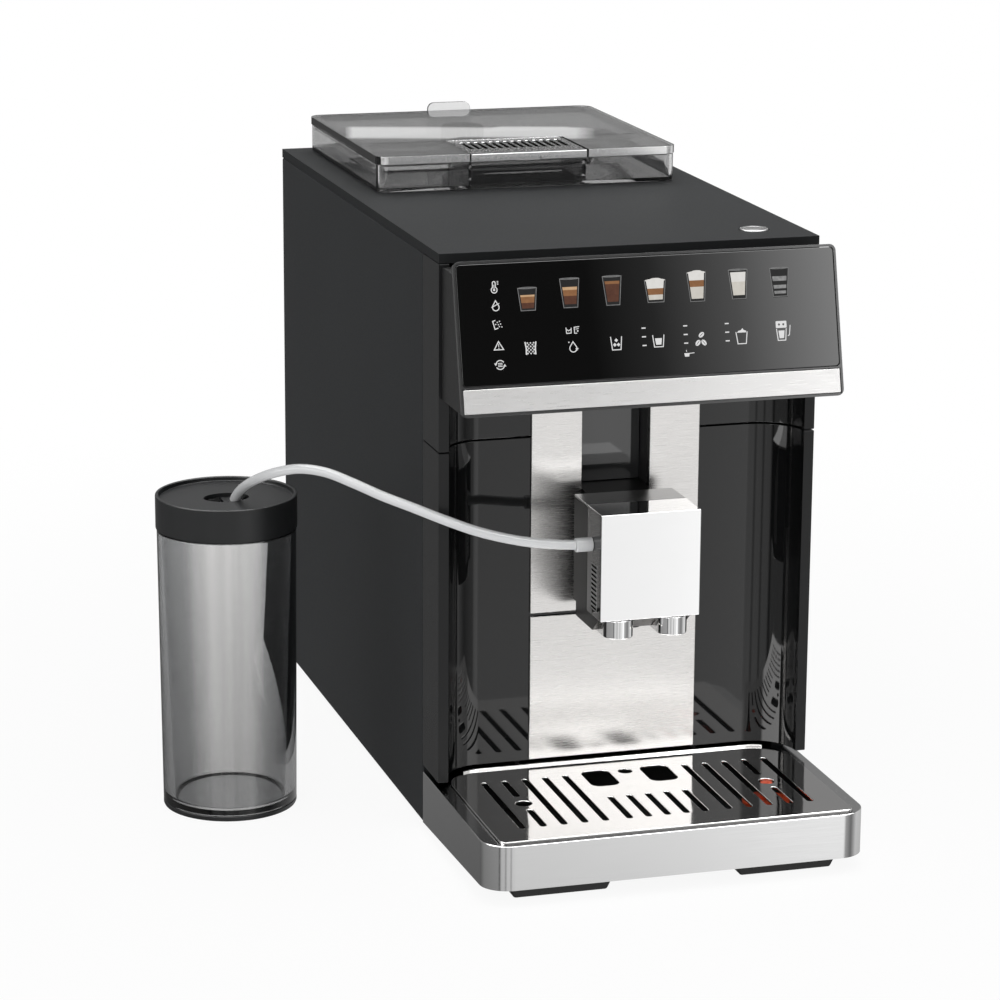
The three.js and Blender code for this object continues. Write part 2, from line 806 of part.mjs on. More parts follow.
// D-shaped in plan: round at the front, flat at the back
function spoutPlan(side, grow) {
  const x = side * (spoutSpacing / 2);
  const radius = spoutWidth / 2;
  const front = -headOut + spoutSet + radius;
  const shape = new THREE.Shape();
  shape.moveTo(x + radius + grow, front);
  shape.lineTo(x + radius + grow, front - radius + spoutDepth + grow);
  shape.lineTo(x - radius - grow, front - radius + spoutDepth + grow);
  shape.lineTo(x - radius - grow, front);
  shape.absarc(x, front, radius + grow, Math.PI, 2 * Math.PI);
  return shape;
}

function spout(side) {
  const body = prismZ(spoutPlan(side, 0), spoutBottom, plateFoot - slideGap, fineCurveSteps);
  const y = -headOut + spoutSet + spoutWidth / 2;
  const bore = barZ(side * (spoutSpacing / 2), y, spoutBottom - overrun, plateFoot - overrun, spoutBore,
    smallSides);
  return cut(body, bore);
}

function milkNozzle() {
  return cut(
    barZ(0, nozzleY, nozzleFoot, nozzleTop, nozzleRadius),
    barZ(0, nozzleY, nozzleFoot - overrun, nozzleTop - nozzleWall, nozzleRadius - nozzleWall, smallSides),
  );
}

function hoseNipple() {
  return cut(
    barX(-headHalf - nippleOut, -headHalf + nippleIn, nippleY, nippleZ, nippleRadius),
    barX(-headHalf - overrun, -headHalf + overrun, nippleY, nippleZ, nippleBore, smallSides),
  );
}

// Drip tray

// Tray outline in plan, drawn in by an inset, with the two front corners rounded
function trayPlan(inset, back) {
  const half = bodyHalf - inset;
  const out = trayOut - inset;
  const radius = trayCorner - inset;
  const shape = new THREE.Shape();
  shape.moveTo(half, back);
  shape.lineTo(-half, back);
  shape.lineTo(-half, -out + radius);
  shape.absarc(-half + radius, -out + radius, radius, Math.PI, 1.5 * Math.PI);
  shape.absarc(half - radius, -out + radius, radius, 1.5 * Math.PI, 2 * Math.PI);
  return shape;
}

function trayBand() {
  const skin = prismZ(trayPlan(0, trayBack), 0, trayRim, fineCurveSteps);
  const room = prismZ(trayPlan(traySkin, trayBack + overrun), -overrun, trayRim - flangeThickness,
    fineCurveSteps);
  const window = prismZ(grateOutline(-fitGap), -overrun, trayRim + overrun);
  const slope = (trayFrontLift - trayRearLift) / (trayOut + trayBack);
  const under = outline([
    [-trayOut - overrun, trayFrontLift + slope * overrun],
    [trayBack + overrun, trayRearLift - slope * overrun],
    [trayBack + overrun, -overrun],
    [-trayOut - overrun, -overrun],
  ]);
  return cut(skin, room, window, prismX(under, -bodyHalf - overrun, bodyHalf + overrun));
}

function grateOutline(inset) {
  const half = grateHalf - inset;
  const front = -grateOut + inset;
  const back = grateBack - inset;
  const near = Math.max(grateCorner - inset, leastCorner);
  const far = grateRearCorner - inset;
  const shape = new THREE.Shape();
  shape.absarc(half - near, front + near, near, -Math.PI / 2, 0);
  shape.absarc(half - far, back - far, far, 0, Math.PI / 2);
  shape.absarc(-half + far, back - far, far, Math.PI / 2, Math.PI);
  shape.absarc(-half + near, front + near, near, Math.PI, 1.5 * Math.PI);
  return shape;
}

function trayBasin() {
  const rimTop = trayRim - flangeThickness - fitGap;
  const rimBottom = trayRim - basinRimDepth;
  const ledge = trayRim - ledgeBelowRim;
  const floor = basinBottom + basinWall;
  const rim = prismZ(trayPlan(traySkin + fitGap, trayBack - fitGap), rimBottom, rimTop, fineCurveSteps);
  const tub = prismZ(grateOutline(ledgeWidth - basinWall), basinBottom, rimBottom + fitGap);
  return cut(join(rim, tub),
    prismZ(grateOutline(-fitGap), ledge, trayRim + overrun),
    prismZ(grateOutline(ledgeWidth), floor, trayRim + overrun));
}

function trayFoot(side) {
  const rise = basinBottom - fitGap;
  const section = outline([
    [side * trayFootInner, 0],
    [side * trayFootOuter, 0],
    [side * (trayFootOuter + trayFootFlare), rise],
    [side * (trayFootInner - trayFootFlare), rise],
  ]);
  return prismY(section, -trayFootOut, -trayFootOut + trayFootDepth);
}

function slotShape(x, back, front) {
  const radius = slotWidth / 2;
  const shape = new THREE.Shape();
  shape.absarc(x, -back - radius, radius, 0, Math.PI);
  shape.absarc(x, -front + radius, radius, Math.PI, 2 * Math.PI);
  return shape;
}

// Where the slots run, from the middle out: [x, back end, front end] behind the front edge
function slotTable() {
  const table = [[0, shortSlotBack, slotFront]];
  for (const [, side] of sides) {
    for (const step of [1, 2]) table.push([side * step * innerSlotPitch, shortSlotBack, slotFront]);
    for (const step of [3, 4, 5, 7]) table.push([side * step * slotPitch, slotBack, slotFront]);
    table.push([side * floatX, slotBack, splitBack], [side * floatX, splitFront, slotFront]);
  }
  return table;
}

function dripGrate() {
  const skirtBottom = trayRim - ledgeBelowRim + fitGap;
  const plate = prismZ(grateOutline(0), skirtBottom, grateTop);
  const under = prismZ(grateOutline(grateThickness), skirtBottom - overrun, grateTop - grateThickness);
  const z0 = skirtBottom - overrun;
  const z1 = grateTop + overrun;
  const slots = slotTable().map((place) => prismZ(slotShape(...place), z0, z1, slotCurveSteps));
  const holes = sides.flatMap(([, side]) => [
    barZ(side * floatX, -floatOut, z0, z1, floatHole, smallSides),
    prismZ(roundedRect(side * windowX - windowWidth / 2, side * windowX + windowWidth / 2,
      -windowOut - windowDepth / 2, -windowOut + windowDepth / 2, windowCorner), z0, z1),
  ]);
  const pinhole = barZ(0, -slotBack - slotWidth, z0, z1, slotWidth, smallSides);
  const lipTop = grateTop + grateLipRise;
  const lip = cut(
    prismZ(grateOutline(0), skirtBottom, lipTop),
    prismZ(grateOutline(grateThickness), z0, lipTop + overrun),
    block(-bodyHalf, bodyHalf, -trayOut, grateBack - grateLipReach, z0, lipTop + overrun),
  );
  return join(cut(plate, under, slots, holes, pinhole), lip);
}

function trayFloat() {
  const foot = basinBottom + basinWall + fitGap;
  return turned([
    [0, foot], [floatRadius, foot], [floatRadius, foot + floatHeight], [floatStem, foot + floatHeight],
    [floatStem, floatStemTop], [0, floatStemTop],
  ]).translate(floatX, -floatOut, 0);
}

// Grounds drawer: an open bin behind a steel front plate

function groundsContainer() {
  const half = drawerHalf - drawerDrop;
  const front = nicheDepth + plateThickness + fitGap;
  const back = front + drawerLength;
  const low = drawerBottom + drawerDrop;
  const high = drawerTop - drawerDrop;
  const bin = prismZ(roundedRect(-half, half, front, back, drawerRadius), low, high);
  const room = prismZ(roundedRect(-half + drawerWall, half - drawerWall, front + drawerWall,
    back - drawerWall, drawerRadius - drawerWall), low + drawerWall, high + overrun);
  return cut(bin, room);
}

function groundsFront() {
  return block(-drawerHalf, drawerHalf, nicheDepth, nicheDepth + plateThickness, drawerBottom, drawerTop);
}

// Chassis: side walls, two shelves, the wall before the tank and the floor of the tank bay

function chassis() {
  const outer = chassisHalf + chassisWall;
  const foot = baseTop + fitGap;
  const front = nicheBack + fitGap;
  const wide = bodyHalf - shellWall - fitGap;
  const bayHalf = tankHalf + slideGap;
  const walls = sides.map(([, side]) => {
    const x = side * (chassisHalf + chassisWall / 2);
    return block(x - chassisWall / 2, x + chassisWall / 2, front, bayBack, foot, chassisTop);
  });
  const shelf = block(-outer, outer, channelBack + frameWall + fitGap, bayBack,
    shelfTop - chassisWall, shelfTop);
  const grinderShelf = block(-outer, outer, grinderY - grinderRadius, bayBack,
    grinderShelfTop - chassisWall, grinderShelfTop);
  const bulkhead = block(-wide, wide, bayFront, bayBack, foot, bayTop);
  const bayFloor = block(-bayHalf - chassisWall, bayHalf + chassisWall, bayFront, rearFace - fitGap,
    bayFloorTop - chassisWall, bayFloorTop);
  const bayWalls = sides.map(([, side]) => {
    const x = side * (bayHalf + chassisWall / 2);
    return block(x - chassisWall / 2, x + chassisWall / 2, bayFront, rearFace - fitGap,
      bayFloorTop - chassisWall, bayTop);
  });
  const y = valveY;
  const gate = block(-valveRadius - slideGap, valveRadius + slideGap, y - valveRadius - slideGap,
    bodyDepth, bayFloorTop - overrun, bayFloorTop + fitGap);
  const motorHole = barZ(0, grinderY, grinderShelfTop - overrun, grinderShelfTop + overrun,
    motorRadius + fitGap);
  const trayRoom = block(-outer - overrun, outer + overrun, 0, frameDepth + fitGap, 0, frameBottom - fitGap);
  return cut(join(walls, shelf, grinderShelf, bulkhead, bayFloor, bayWalls), gate, motorHole, trayRoom);
}

// Bean hopper: translucent bin with a funnel for the beans and a chute for ground coffee

function frustum(half0, y0, y1, z0, halfTop, y2, y3, z1) {
  const corners = [
    [-half0, y0, z0], [half0, y0, z0], [half0, y1, z0], [-half0, y1, z0],
    [-halfTop, y2, z1], [halfTop, y2, z1], [halfTop, y3, z1], [-halfTop, y3, z1],
  ];
  const geometry = new THREE.BufferGeometry();
  geometry.setAttribute('position', new THREE.Float32BufferAttribute(corners.flat(), 3));
  geometry.setIndex([
    0, 2, 1, 0, 3, 2, 4, 5, 6, 4, 6, 7, 0, 1, 5, 0, 5, 4,
    1, 2, 6, 1, 6, 5, 2, 3, 7, 2, 7, 6, 3, 0, 4, 3, 4, 7,
  ]);
  return geometry;
}

function hopperBin() {
  const half = hopperHalf;
  const wall = hopperWall;
  const shell = prismZ(roundedRect(-half, half, hopperFront, hopperBack, hopperCorner),
    hopperFoot, hopperRim);
  const room = prismZ(roundedRect(-half + wall, half - wall, hopperFront + wall, hopperBack - wall,
    hopperCorner - wall), hopperFloorTop, hopperRim + overrun);
  const funnel = (inset, z0, z1) => frustum(
    throatRadius - inset, grinderY - throatRadius + inset, grinderY + throatRadius - inset, z0,
    funnelHalf - inset, funnelFront + inset, funnelRear - inset, z1,
  );
  const throatTop = throatBottom + throatHeight;
  const throat = block(-throatRadius, throatRadius, grinderY - throatRadius, grinderY + throatRadius,
    throatBottom, throatTop);
  const throatRoom = block(-throatRadius + wall, throatRadius - wall, grinderY - throatRadius + wall,
    grinderY + throatRadius - wall, throatBottom - overrun, throatTop + overrun);
  const chuteHalf = flapWidth / 2;
  const chuteFront = hopperFront + chuteSet;
  const chuteBack = flapBack - wall;
  const chute = block(-chuteHalf, chuteHalf, chuteFront, chuteBack, hopperFoot - chuteDepth, hopperRim);
  const chuteRoom = block(-chuteHalf + wall, chuteHalf - wall, chuteFront + wall, chuteBack - wall,
    hopperFoot - chuteDepth + wall, hopperRim + overrun);
  return cut(
    join(cut(shell, room), funnel(0, throatBottom + wall, hopperFloorTop - fitGap), throat, chute),
    funnel(wall, throatTop, hopperFloorTop + fitGap), throatRoom, chuteRoom,
  );
}

function hopperLid() {
  const half = hopperHalf + lidOverhang;
  const front = hopperFront - lidOverhang;
  const back = hopperBack + lidOverhang;
  const plate = prismZ(roundedRect(-half, half, front, back, hopperCorner + lidOverhang),
    lidBase, lidFace, fineCurveSteps);
  const inset = hopperWall + fitGap + lidOverhang;
  const rimOuter = roundedRect(-half + inset, half - inset, flapBack + inset, back - inset, hopperCorner);
  const rimInner = roundedRect(-half + inset + hopperWall, half - inset - hopperWall,
    flapBack + inset + hopperWall, back - inset - hopperWall, hopperCorner - hopperWall);
  const rim = cut(prismZ(rimOuter, lidBase - lidRimDepth, lidBase + fitGap),
    prismZ(rimInner, lidBase - lidRimDepth - overrun, lidBase));
  const gateHalf = flapWidth / 2 + fitGap;
  const gate = block(-gateHalf, gateHalf, front - overrun, flapBack + slideGap, lidBase - overrun,
    lidFace + overrun);
  const pins = sides.map(([, side]) => {
    const x = side * (gateHalf + flapPinLength / 2);
    return barX(x - flapPinLength, x + flapPinLength, flapBack - lidThickness / 2,
      lidBase + lidThickness / 2, flapPin + fitGap, smallSides);
  });
  return cut(join(plate, rim), gate, pins);
}

function hopperFlap() {
  const half = flapWidth / 2;
  const pivotY = flapBack - lidThickness / 2;
  const pivotZ = lidBase + lidThickness / 2;
  const side = new THREE.Shape();
  side.moveTo(pivotY, lidBase);
  side.absarc(pivotY, pivotZ, lidThickness / 2, -Math.PI / 2, Math.PI / 2);
  side.lineTo(hopperFront - lidOverhang, lidFace);
  side.lineTo(hopperFront - lidOverhang, lidBase);
  const leaf = prismX(side, -half, half);
  const grips = Array.from({ length: gripCount }, (_, i) => {
    const x = (i - (gripCount - 1) / 2) * gripPitch;
    const y = hopperFront + gripFromFront;
    return block(x - gripWidth / 2, x + gripWidth / 2, y, y + gripLength,
      lidFace - gripDepth, lidFace + overrun);
  });
  const notch = block(-notchWidth / 2, notchWidth / 2, hopperFront - overrun, hopperFront + overrun,
    lidBase - overrun, lidBase + notchHeight);
  const pin = barX(-half - flapPinLength / 2, half + flapPinLength / 2, pivotY, pivotZ, flapPin, smallSides);
  return join(cut(leaf, grips, notch), pin);
}

function grindKnob() {
  const foot = hopperFloorTop + fitGap;
  const disc = barZ(0, 0, foot, foot + knobHeight, knobRadius);
  const ribs = Array.from({ length: knobRibs }, (_, i) => {
    const angle = (2 * Math.PI * i) / knobRibs;
    return barZ(knobRadius * Math.cos(angle), knobRadius * Math.sin(angle),
      foot + knobSkirt, foot + knobHeight + overrun, knobGroove, smallSides);
  });
  return cut(disc, ribs).translate(0, knobY, 0);
}

// Grinder

function grinderHousing() {
  const body = barZ(0, 0, grinderBottom, grinderTop, grinderRadius);
  const cavityFloor = grinderBottom + grinderFloor;
  const room = barZ(0, 0, cavityFloor, grinderTop + overrun, grinderCavity);
  const shaft = barZ(0, 0, grinderBottom - overrun, cavityFloor + overrun, shaftRadius + slideGap);
  const chuteHalf = throatRadius - hopperWall;
  const chuteStart = -grinderCavity + overrun;
  const chuteEnd = brewY + brewDepth - grinderY + slideGap;
  const section = (inset, end) => outline([
    [chuteStart + inset, cavityFloor - inset + spoutRise],
    [chuteStart + inset, cavityFloor + inset - spoutRoot],
    [end, cavityFloor + inset - grinderFloor],
    [end, cavityFloor - inset + spoutRoot],
  ]);
  const chute = prismX(section(0, chuteEnd), -chuteHalf, chuteHalf);
  const roomHalf = chuteHalf - hopperWall;
  const chuteRoom = prismX(section(hopperWall, chuteEnd - overrun), -roomHalf, roomHalf);
  return cut(join(body, chute), room, shaft, chuteRoom).translate(0, grinderY, 0);
}

function grindingBurr() {
  const foot = grinderBottom + grinderFloor + slideGap;
  const cone = turned([
    [0, foot], [burrRadius, foot], [burrRadius, foot + burrLip], [burrNose, foot + burrHeight],
    [0, foot + burrHeight],
  ]);
  const teeth = Array.from({ length: burrTeeth }, (_, i) => {
    const tooth = block(burrNose, burrRadius + overrun, -toothGap / 2, toothGap / 2,
      foot + toothFoot, foot + burrHeight + overrun);
    return tooth.rotateZ((2 * Math.PI * i) / burrTeeth);
  });
  const shaft = barZ(0, 0, grinderBottom + fitGap, foot + fitGap, shaftRadius);
  return join(cut(cone, teeth), shaft).translate(0, grinderY, 0);
}

function grinderMotor() {
  const foot = shelfTop + fitGap;
  const top = grinderShelfTop;
  const waist = motorRadius - motorStep;
  const lowCap = foot + motorCap;
  const highCap = top - motorCap;
  return turned([
    [0, foot], [motorRadius, foot], [motorRadius, lowCap], [waist, lowCap + motorStep],
    [waist, highCap - motorStep], [motorRadius, highCap], [motorRadius, top], [0, top],
  ]).translate(0, grinderY, 0);
}

// Brewing unit, in a frame whose base stands on the shelf

function brewFrame() {
  const base = block(-brewHalf, brewHalf, -brewDepth, brewDepth, fitGap, brewPlate);
  const wall = block(-brewHalf, brewHalf, brewDepth - brewPlate / 2, brewDepth, fitGap, brewHeight);
  const bridge = block(-brewHalf, brewHalf, -brewDepth, brewDepth, brewHeight - brewPlate, brewHeight);
  const screw = barZ(screwX, 0, -overrun, brewHeight + overrun, screwRadius + slideGap);
  return cut(join(base, wall, bridge), screw);
}

function brewChamber() {
  const top = chamberBottom + chamberHeight;
  const cup = turned([
    [0, chamberBottom], [chamberRadius, chamberBottom], [chamberRadius, top], [chamberBore, top],
    [chamberBore, chamberBottom + chamberFloor], [0, chamberBottom + chamberFloor],
  ]).translate(chamberX, chamberY, 0);
  const lugTop = chamberBottom + lugHeight;
  const lug = block(0, brewHalf - fitGap, -lugWidth / 2, lugWidth / 2, chamberBottom, lugTop);
  const bore = barZ(chamberX, chamberY, chamberBottom + chamberFloor, top + overrun, chamberBore);
  const nutHole = barZ(screwX, 0, chamberBottom - overrun, lugTop + overrun, screwRadius + slideGap);
  return cut(join(cup, lug), bore, nutHole);
}

function brewPiston() {
  const top = brewHeight - brewPlate - fitGap;
  return turned([
    [0, pistonFoot], [pistonRadius, pistonFoot], [pistonRadius, pistonFoot + brewPlate],
    [pistonStem, pistonFoot + brewPlate], [pistonStem, top], [0, top],
  ]).translate(chamberX, chamberY, 0);
}

function brewScrew() {
  return barZ(screwX, 0, slideGap, brewHeight, screwRadius, smallSides);
}

function brewMotor() {
  const foot = brewHeight + fitGap;
  const centre = screwX - screwRadius;
  return turned([
    [0, foot], [brewMotorRadius, foot], [brewMotorRadius, foot + brewMotorHeight],
    [brewMotorRadius - brewMotorNeck, foot + brewMotorHeight + brewMotorNeck],
    [0, foot + brewMotorHeight + brewMotorNeck],
  ]).translate(centre, 0, 0);
}

// Heater, pump, power board and inlet

function thermoblock() {
  const inner = -chassisHalf - chassisWall - fitGap;
  const outer = inner - blockDepth;
  const y0 = blockY - blockLength / 2;
  const z0 = blockZ - blockHeight / 2;
  const casting = block(outer, inner, y0, y0 + blockLength, z0, z0 + blockHeight);
  const pitch = blockLength / blockFins;
  const gaps = Array.from({ length: blockFins - 1 }, (_, i) => {
    const y = y0 + (i + 1) * pitch;
    return block(outer - overrun, outer + finDepth, y - finGap / 2, y + finGap / 2,
      z0 - overrun, z0 + blockHeight + overrun);
  });
  const stubs = [-1, 1].map((end) => barZ(inner - stubInset, blockY + (end * stubSpacing) / 2,
    z0 + blockHeight - overrun, z0 + blockHeight + stubHeight, stubRadius, smallSides));
  return join(cut(casting, gaps), stubs);
}

function waterPump() {
  const y0 = pumpY - pumpLength / 2;
  const y1 = pumpY + pumpLength / 2;
  const coil = barY(0, y0, y0 + coilLength, pumpAxis, pumpRadius);
  const head = barY(0, y0, y1, pumpAxis, pumpHeadRadius);
  const outlet = barY(0, y0 - pumpPipeLength, y1 + pumpPipeLength, pumpAxis, pumpPipeRadius, smallSides);
  const saddle = block(-saddleWidth / 2, saddleWidth / 2, y0, y0 + coilLength, baseTop + fitGap, pumpAxis);
  return join(coil, head, outlet, saddle);
}

function powerBoard() {
  const inner = chassisHalf + chassisWall + fitGap;
  const face = inner + postLength + boardThickness;
  const y0 = powerBoardY - powerBoardLength / 2;
  const y1 = powerBoardY + powerBoardLength / 2;
  const z0 = powerBoardZ - powerBoardHeight / 2;
  const z1 = powerBoardZ + powerBoardHeight / 2;
  const board = block(face - boardThickness, face, y0, y1, z0, z1);
  const posts = [y0 + postInset, y1 - postInset].flatMap((y) => [z0 + postInset, z1 - postInset].map(
    (z) => barX(inner, face, y, z, postRadius, smallSides)));
  const parts = boardParts.map(([along, up, width, height, out]) => block(face - fitGap, face + out,
    y0 + along, y0 + along + width, z0 + up, z0 + up + height));
  const cans = canPlaces.map(([along, up]) => barX(face - fitGap, face + canLength,
    y0 + along, z0 + up, canRadius, smallSides));
  return join(board, posts, parts, cans);
}

function powerInlet() {
  const w = inletWidth / 2;
  const h = inletHeight / 2;
  const body = block(-w, w, bodyDepth - inletDepth, bodyDepth, -h, h);
  const flange = block(-w - inletWall, w + inletWall, rearFace - fitGap - inletWall, rearFace - fitGap,
    -h - inletWall, h + inletWall);
  const room = block(-w + inletWall, w - inletWall, bodyDepth - inletDepth + inletWall, bodyDepth + overrun,
    -h + inletWall, h - inletWall);
  const pins = [-1, 0, 1].map((place) => {
    const x = (place * inletWidth) / 4;
    const z = place ? 0 : earthRise;
    return block(x - inletWall / 2, x + inletWall / 2, bodyDepth - inletDepth + inletWall / 2,
      bodyDepth - pinRecess, z - pinHeight / 2, z + pinHeight / 2);
  });
  return join(cut(join(body, flange), room), pins).translate(inletX, 0, inletZ);
}

// Water tank, open at the top, with a grip tab on its back wall and a valve in its floor

function waterTank() {
  const shell = prismZ(roundedRect(-tankHalf, tankHalf, tankFront, tankBack, tankCorner),
    tankBottom, tankTop);
  const room = prismZ(roundedRect(-tankHalf + tankWall, tankHalf - tankWall, tankFront + tankWall,
    tankBack - tankWall, tankCorner - tankWall), tankBottom + tankWall, tankTop + overrun);
  const tab = prismY(roundedRect(-tabWidth / 2, tabWidth / 2, tankTop - tabWidth, tabTop, tabCorner),
    tankBack - tankWall, tankBack);
  const hole = barZ(0, valveY, tankBottom - overrun, tankBottom + overrun, valveStem + fitGap);
  return cut(join(cut(shell, room), tab), hole);
}

function tankValve() {
  const foot = tankBottom - fitGap - valveDrop;
  const neck = tankBottom - fitGap;
  const seat = tankBottom + tankWall + fitGap;
  return turned([
    [0, foot], [valveRadius - fitGap, foot], [valveRadius - fitGap, neck], [valveStem, neck],
    [valveStem, seat], [valveRadius, seat], [valveRadius, seat + tankWall], [0, seat + tankWall],
  ]).translate(0, valveY, 0);
}

// Milk container, about its own axis

function milkCup() {
  const foot = slideGap;
  const floor = foot + cupFloor;
  const innerBase = cupBaseRadius - cupWall - ringWall;
  return turned([
    [0, foot], [innerBase, foot], [cupBaseRadius - ringWall - fitGap, foot + cupWall],
    [cupBaseRadius - ringWall - fitGap, ringHeight + fitGap], [cupBaseRadius, ringHeight + fitGap],
    [cupTopRadius, cupHeight], [cupTopRadius - cupWall, cupHeight],
    [innerBase - cupWall, floor + cupWall], [innerBase - cupWall - ringWall, floor], [0, floor],
  ], cupSides);
}

function cupRing() {
  const inner = cupBaseRadius - ringWall;
  return turned([
    [inner - cupWall, 0], [cupBaseRadius - ringWall / 2, 0], [cupBaseRadius, ringWall / 2],
    [cupBaseRadius, ringHeight], [inner, ringHeight], [inner, slideGap], [inner - cupWall, fitGap],
    [inner - cupWall, 0],
  ], cupSides);
}

function cupLid() {
  const plugRadius = cupTopRadius - cupWall - slideGap;
  const shelf = lidTop - lidRecess;
  const body = turned([
    [0, lidBottom - lidPlug], [plugRadius, lidBottom - lidPlug], [plugRadius, lidBottom],
    [lidRadius, lidBottom], [lidRadius, lidTop - lidRimWidth / 2], [lidRadius - lidRimWidth / 2, lidTop],
    [lidRadius - lidRimWidth, lidTop], [lidRadius - lidRimWidth, shelf], [0, shelf],
  ], cupSides);
  const under = barZ(0, 0, lidBottom - lidPlug - overrun, shelf - cupWall, plugRadius - cupWall, cupSides);
  const well = new THREE.Shape();
  well.absellipse(0, 0, wellHalfWidth, wellHalfDepth, 0, 2 * Math.PI);
  const underside = shelf - cupWall;
  const opening = prismZ(well, underside - overrun, shelf + overrun, wellCurveSteps);
  const bridgeHalf = wellHalfDepth + bridgeThickness;
  const bridge = block(bridgeLeft, bridgeRight, -bridgeHalf, bridgeHalf, underside - bridgeThickness,
    underside + fitGap);
  const port = barZ(portX, portY, underside, underside + portHeight, portRadius);
  return join(cut(body, under, opening), bridge, port);
}

function milkHose() {
  const path = new THREE.CatmullRomCurve3(hoseRoute.map((point) => new THREE.Vector3(...point)));
  const steps = Math.round(path.getLength() / hoseStep);
  const tube = tubeAlong(hoseRoute, hoseRadius, hoseSides, steps);
  const end = -headHalf - nippleOut - fitGap;
  const cuff = barX(end - cuffLength, end, nippleY, nippleZ, cuffRadius, hoseSides);
  return join(tube, cuff);
}

// Assembly

function housing() {
  const group = new THREE.Group();
  piece(group, 'base_plate', basePlate(), 'dark');
  for (const [name, side] of sides) {
    const inset = side * (bodyHalf - footInset);
    piece(group, `foot_front_${name}`, footPad(), 'dark').position.set(inset, footFrontY, 0);
    piece(group, `foot_rear_${name}`, footPad(), 'dark').position.set(inset, footRearY, 0);
    piece(group, `side_panel_${name}`, sidePanel(side), 'housing');
    piece(group, `steel_plate_${name}`, steelPlate(side), 'steel');
    const rod = barZ(0, 0, channelBottom + slideGap, channelTop - fitGap, rodRadius, smallSides);
    piece(group, `guide_rod_${name}`, rod, 'zinc').position.set(side * (rodSpacing / 2), rodY, 0);
  }
  piece(group, 'rear_panel', rearPanel(), 'housing');
  piece(group, 'top_cover', topCover(), 'housing');
  piece(group, 'front_frame_lower', lowerFrame(), 'gloss');
  piece(group, 'front_frame_upper', upperFrame(), 'gloss');
  piece(group, 'channel_liner', channelLiner(), 'dark');
  piece(group, 'chassis', chassis(), 'dark');
  return group;
}

function controlPanel() {
  const group = new THREE.Group();
  piece(group, 'panel_housing', panelHousing(), 'dark');
  const face = new THREE.Group();
  face.position.set(0, -panelBottomOut, panelBottom);
  face.rotation.x = -panelLean;
  piece(face, 'panel_bezel', bezelFrame(), 'dark');
  piece(face, 'panel_glass', panelGlass(), 'gloss');
  piece(face, 'panel_trim', panelTrim(), 'steel');
  piece(face, 'control_board', controlBoard(), 'board');
  group.add(face);
  piece(group, 'power_button', powerButton(), 'steel');
  return group;
}

function dispenserHead() {
  const group = new THREE.Group();
  piece(group, 'head_cover', headCover(), 'chrome');
  piece(group, 'head_body', headBody(), 'dark');
  for (const [name, side] of sides) piece(group, `spout_${name}`, spout(side), 'chrome');
  piece(group, 'milk_nozzle', milkNozzle(), 'dark');
  piece(group, 'hose_nipple', hoseNipple(), 'steel');
  return group;
}

function dripTray() {
  const group = new THREE.Group();
  piece(group, 'tray_band', trayBand(), 'steel');
  piece(group, 'tray_basin', trayBasin(), 'dark');
  for (const [name, side] of sides) piece(group, `tray_foot_${name}`, trayFoot(side), 'dark');
  piece(group, 'drip_grate', dripGrate(), 'steel');
  piece(group, 'tray_float', trayFloat(), 'red');
  piece(group, 'grounds_container', groundsContainer(), 'dark');
  piece(group, 'grounds_front', groundsFront(), 'steel');
  return group;
}

function hopperAndGrinder() {
  const group = new THREE.Group();
  piece(group, 'hopper_bin', hopperBin(), 'smoke');
  piece(group, 'hopper_lid', hopperLid(), 'smoke');
  piece(group, 'hopper_flap', hopperFlap(), 'smoke');
  piece(group, 'grind_knob', grindKnob(), 'dark');
  piece(group, 'grinder_housing', grinderHousing(), 'dark');
  piece(group, 'grinding_burr', grindingBurr(), 'zinc');
  piece(group, 'grinder_motor', grinderMotor(), 'zinc');
  return group;
}

function brewingUnit() {
  const group = new THREE.Group();
  group.position.set(0, brewY, shelfTop);
  piece(group, 'brew_frame', brewFrame(), 'dark');
  piece(group, 'brew_chamber', brewChamber(), 'dark');
  piece(group, 'brew_piston', brewPiston(), 'zinc');
  piece(group, 'brew_screw', brewScrew(), 'zinc');
  piece(group, 'brew_motor', brewMotor(), 'zinc');
  return group;
}

function waterAndPower() {
  const group = new THREE.Group();
  piece(group, 'thermoblock', thermoblock(), 'zinc');
  piece(group, 'water_pump', waterPump(), 'zinc');
  piece(group, 'power_board', powerBoard(), 'board');
  piece(group, 'power_inlet', powerInlet(), 'dark');
  piece(group, 'water_tank', waterTank(), 'clear');
  piece(group, 'tank_valve', tankValve(), 'dark');
  return group;
}

function milkContainer() {
  const group = new THREE.Group();
  group.position.set(cupX, cupY, 0);
  piece(group, 'milk_cup', milkCup(), 'smoke');
  piece(group, 'cup_ring', cupRing(), 'dark');
  piece(group, 'cup_lid', cupLid(), 'dark');
  return group;
}

const machine = new THREE.Group();
machine.add(housing(), controlPanel(), dispenserHead(), dripTray(), hopperAndGrinder());
machine.add(brewingUnit(), waterAndPower(), milkContainer());

// The origin is the centre of the base of the rigid object; the hose is added after it is measured
const bounds = new THREE.Box3().setFromObject(machine, true);
piece(machine, 'milk_hose', milkHose(), 'hose');
machine.position.set(-(bounds.min.x + bounds.max.x) / 2, -(bounds.min.y + bounds.max.y) / 2, -bounds.min.z);

export default machine;
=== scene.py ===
# Coffee machine: the detailed pieces, materials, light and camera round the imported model.
import json
import math

import bmesh
import bpy
from mathutils import Matrix, Vector


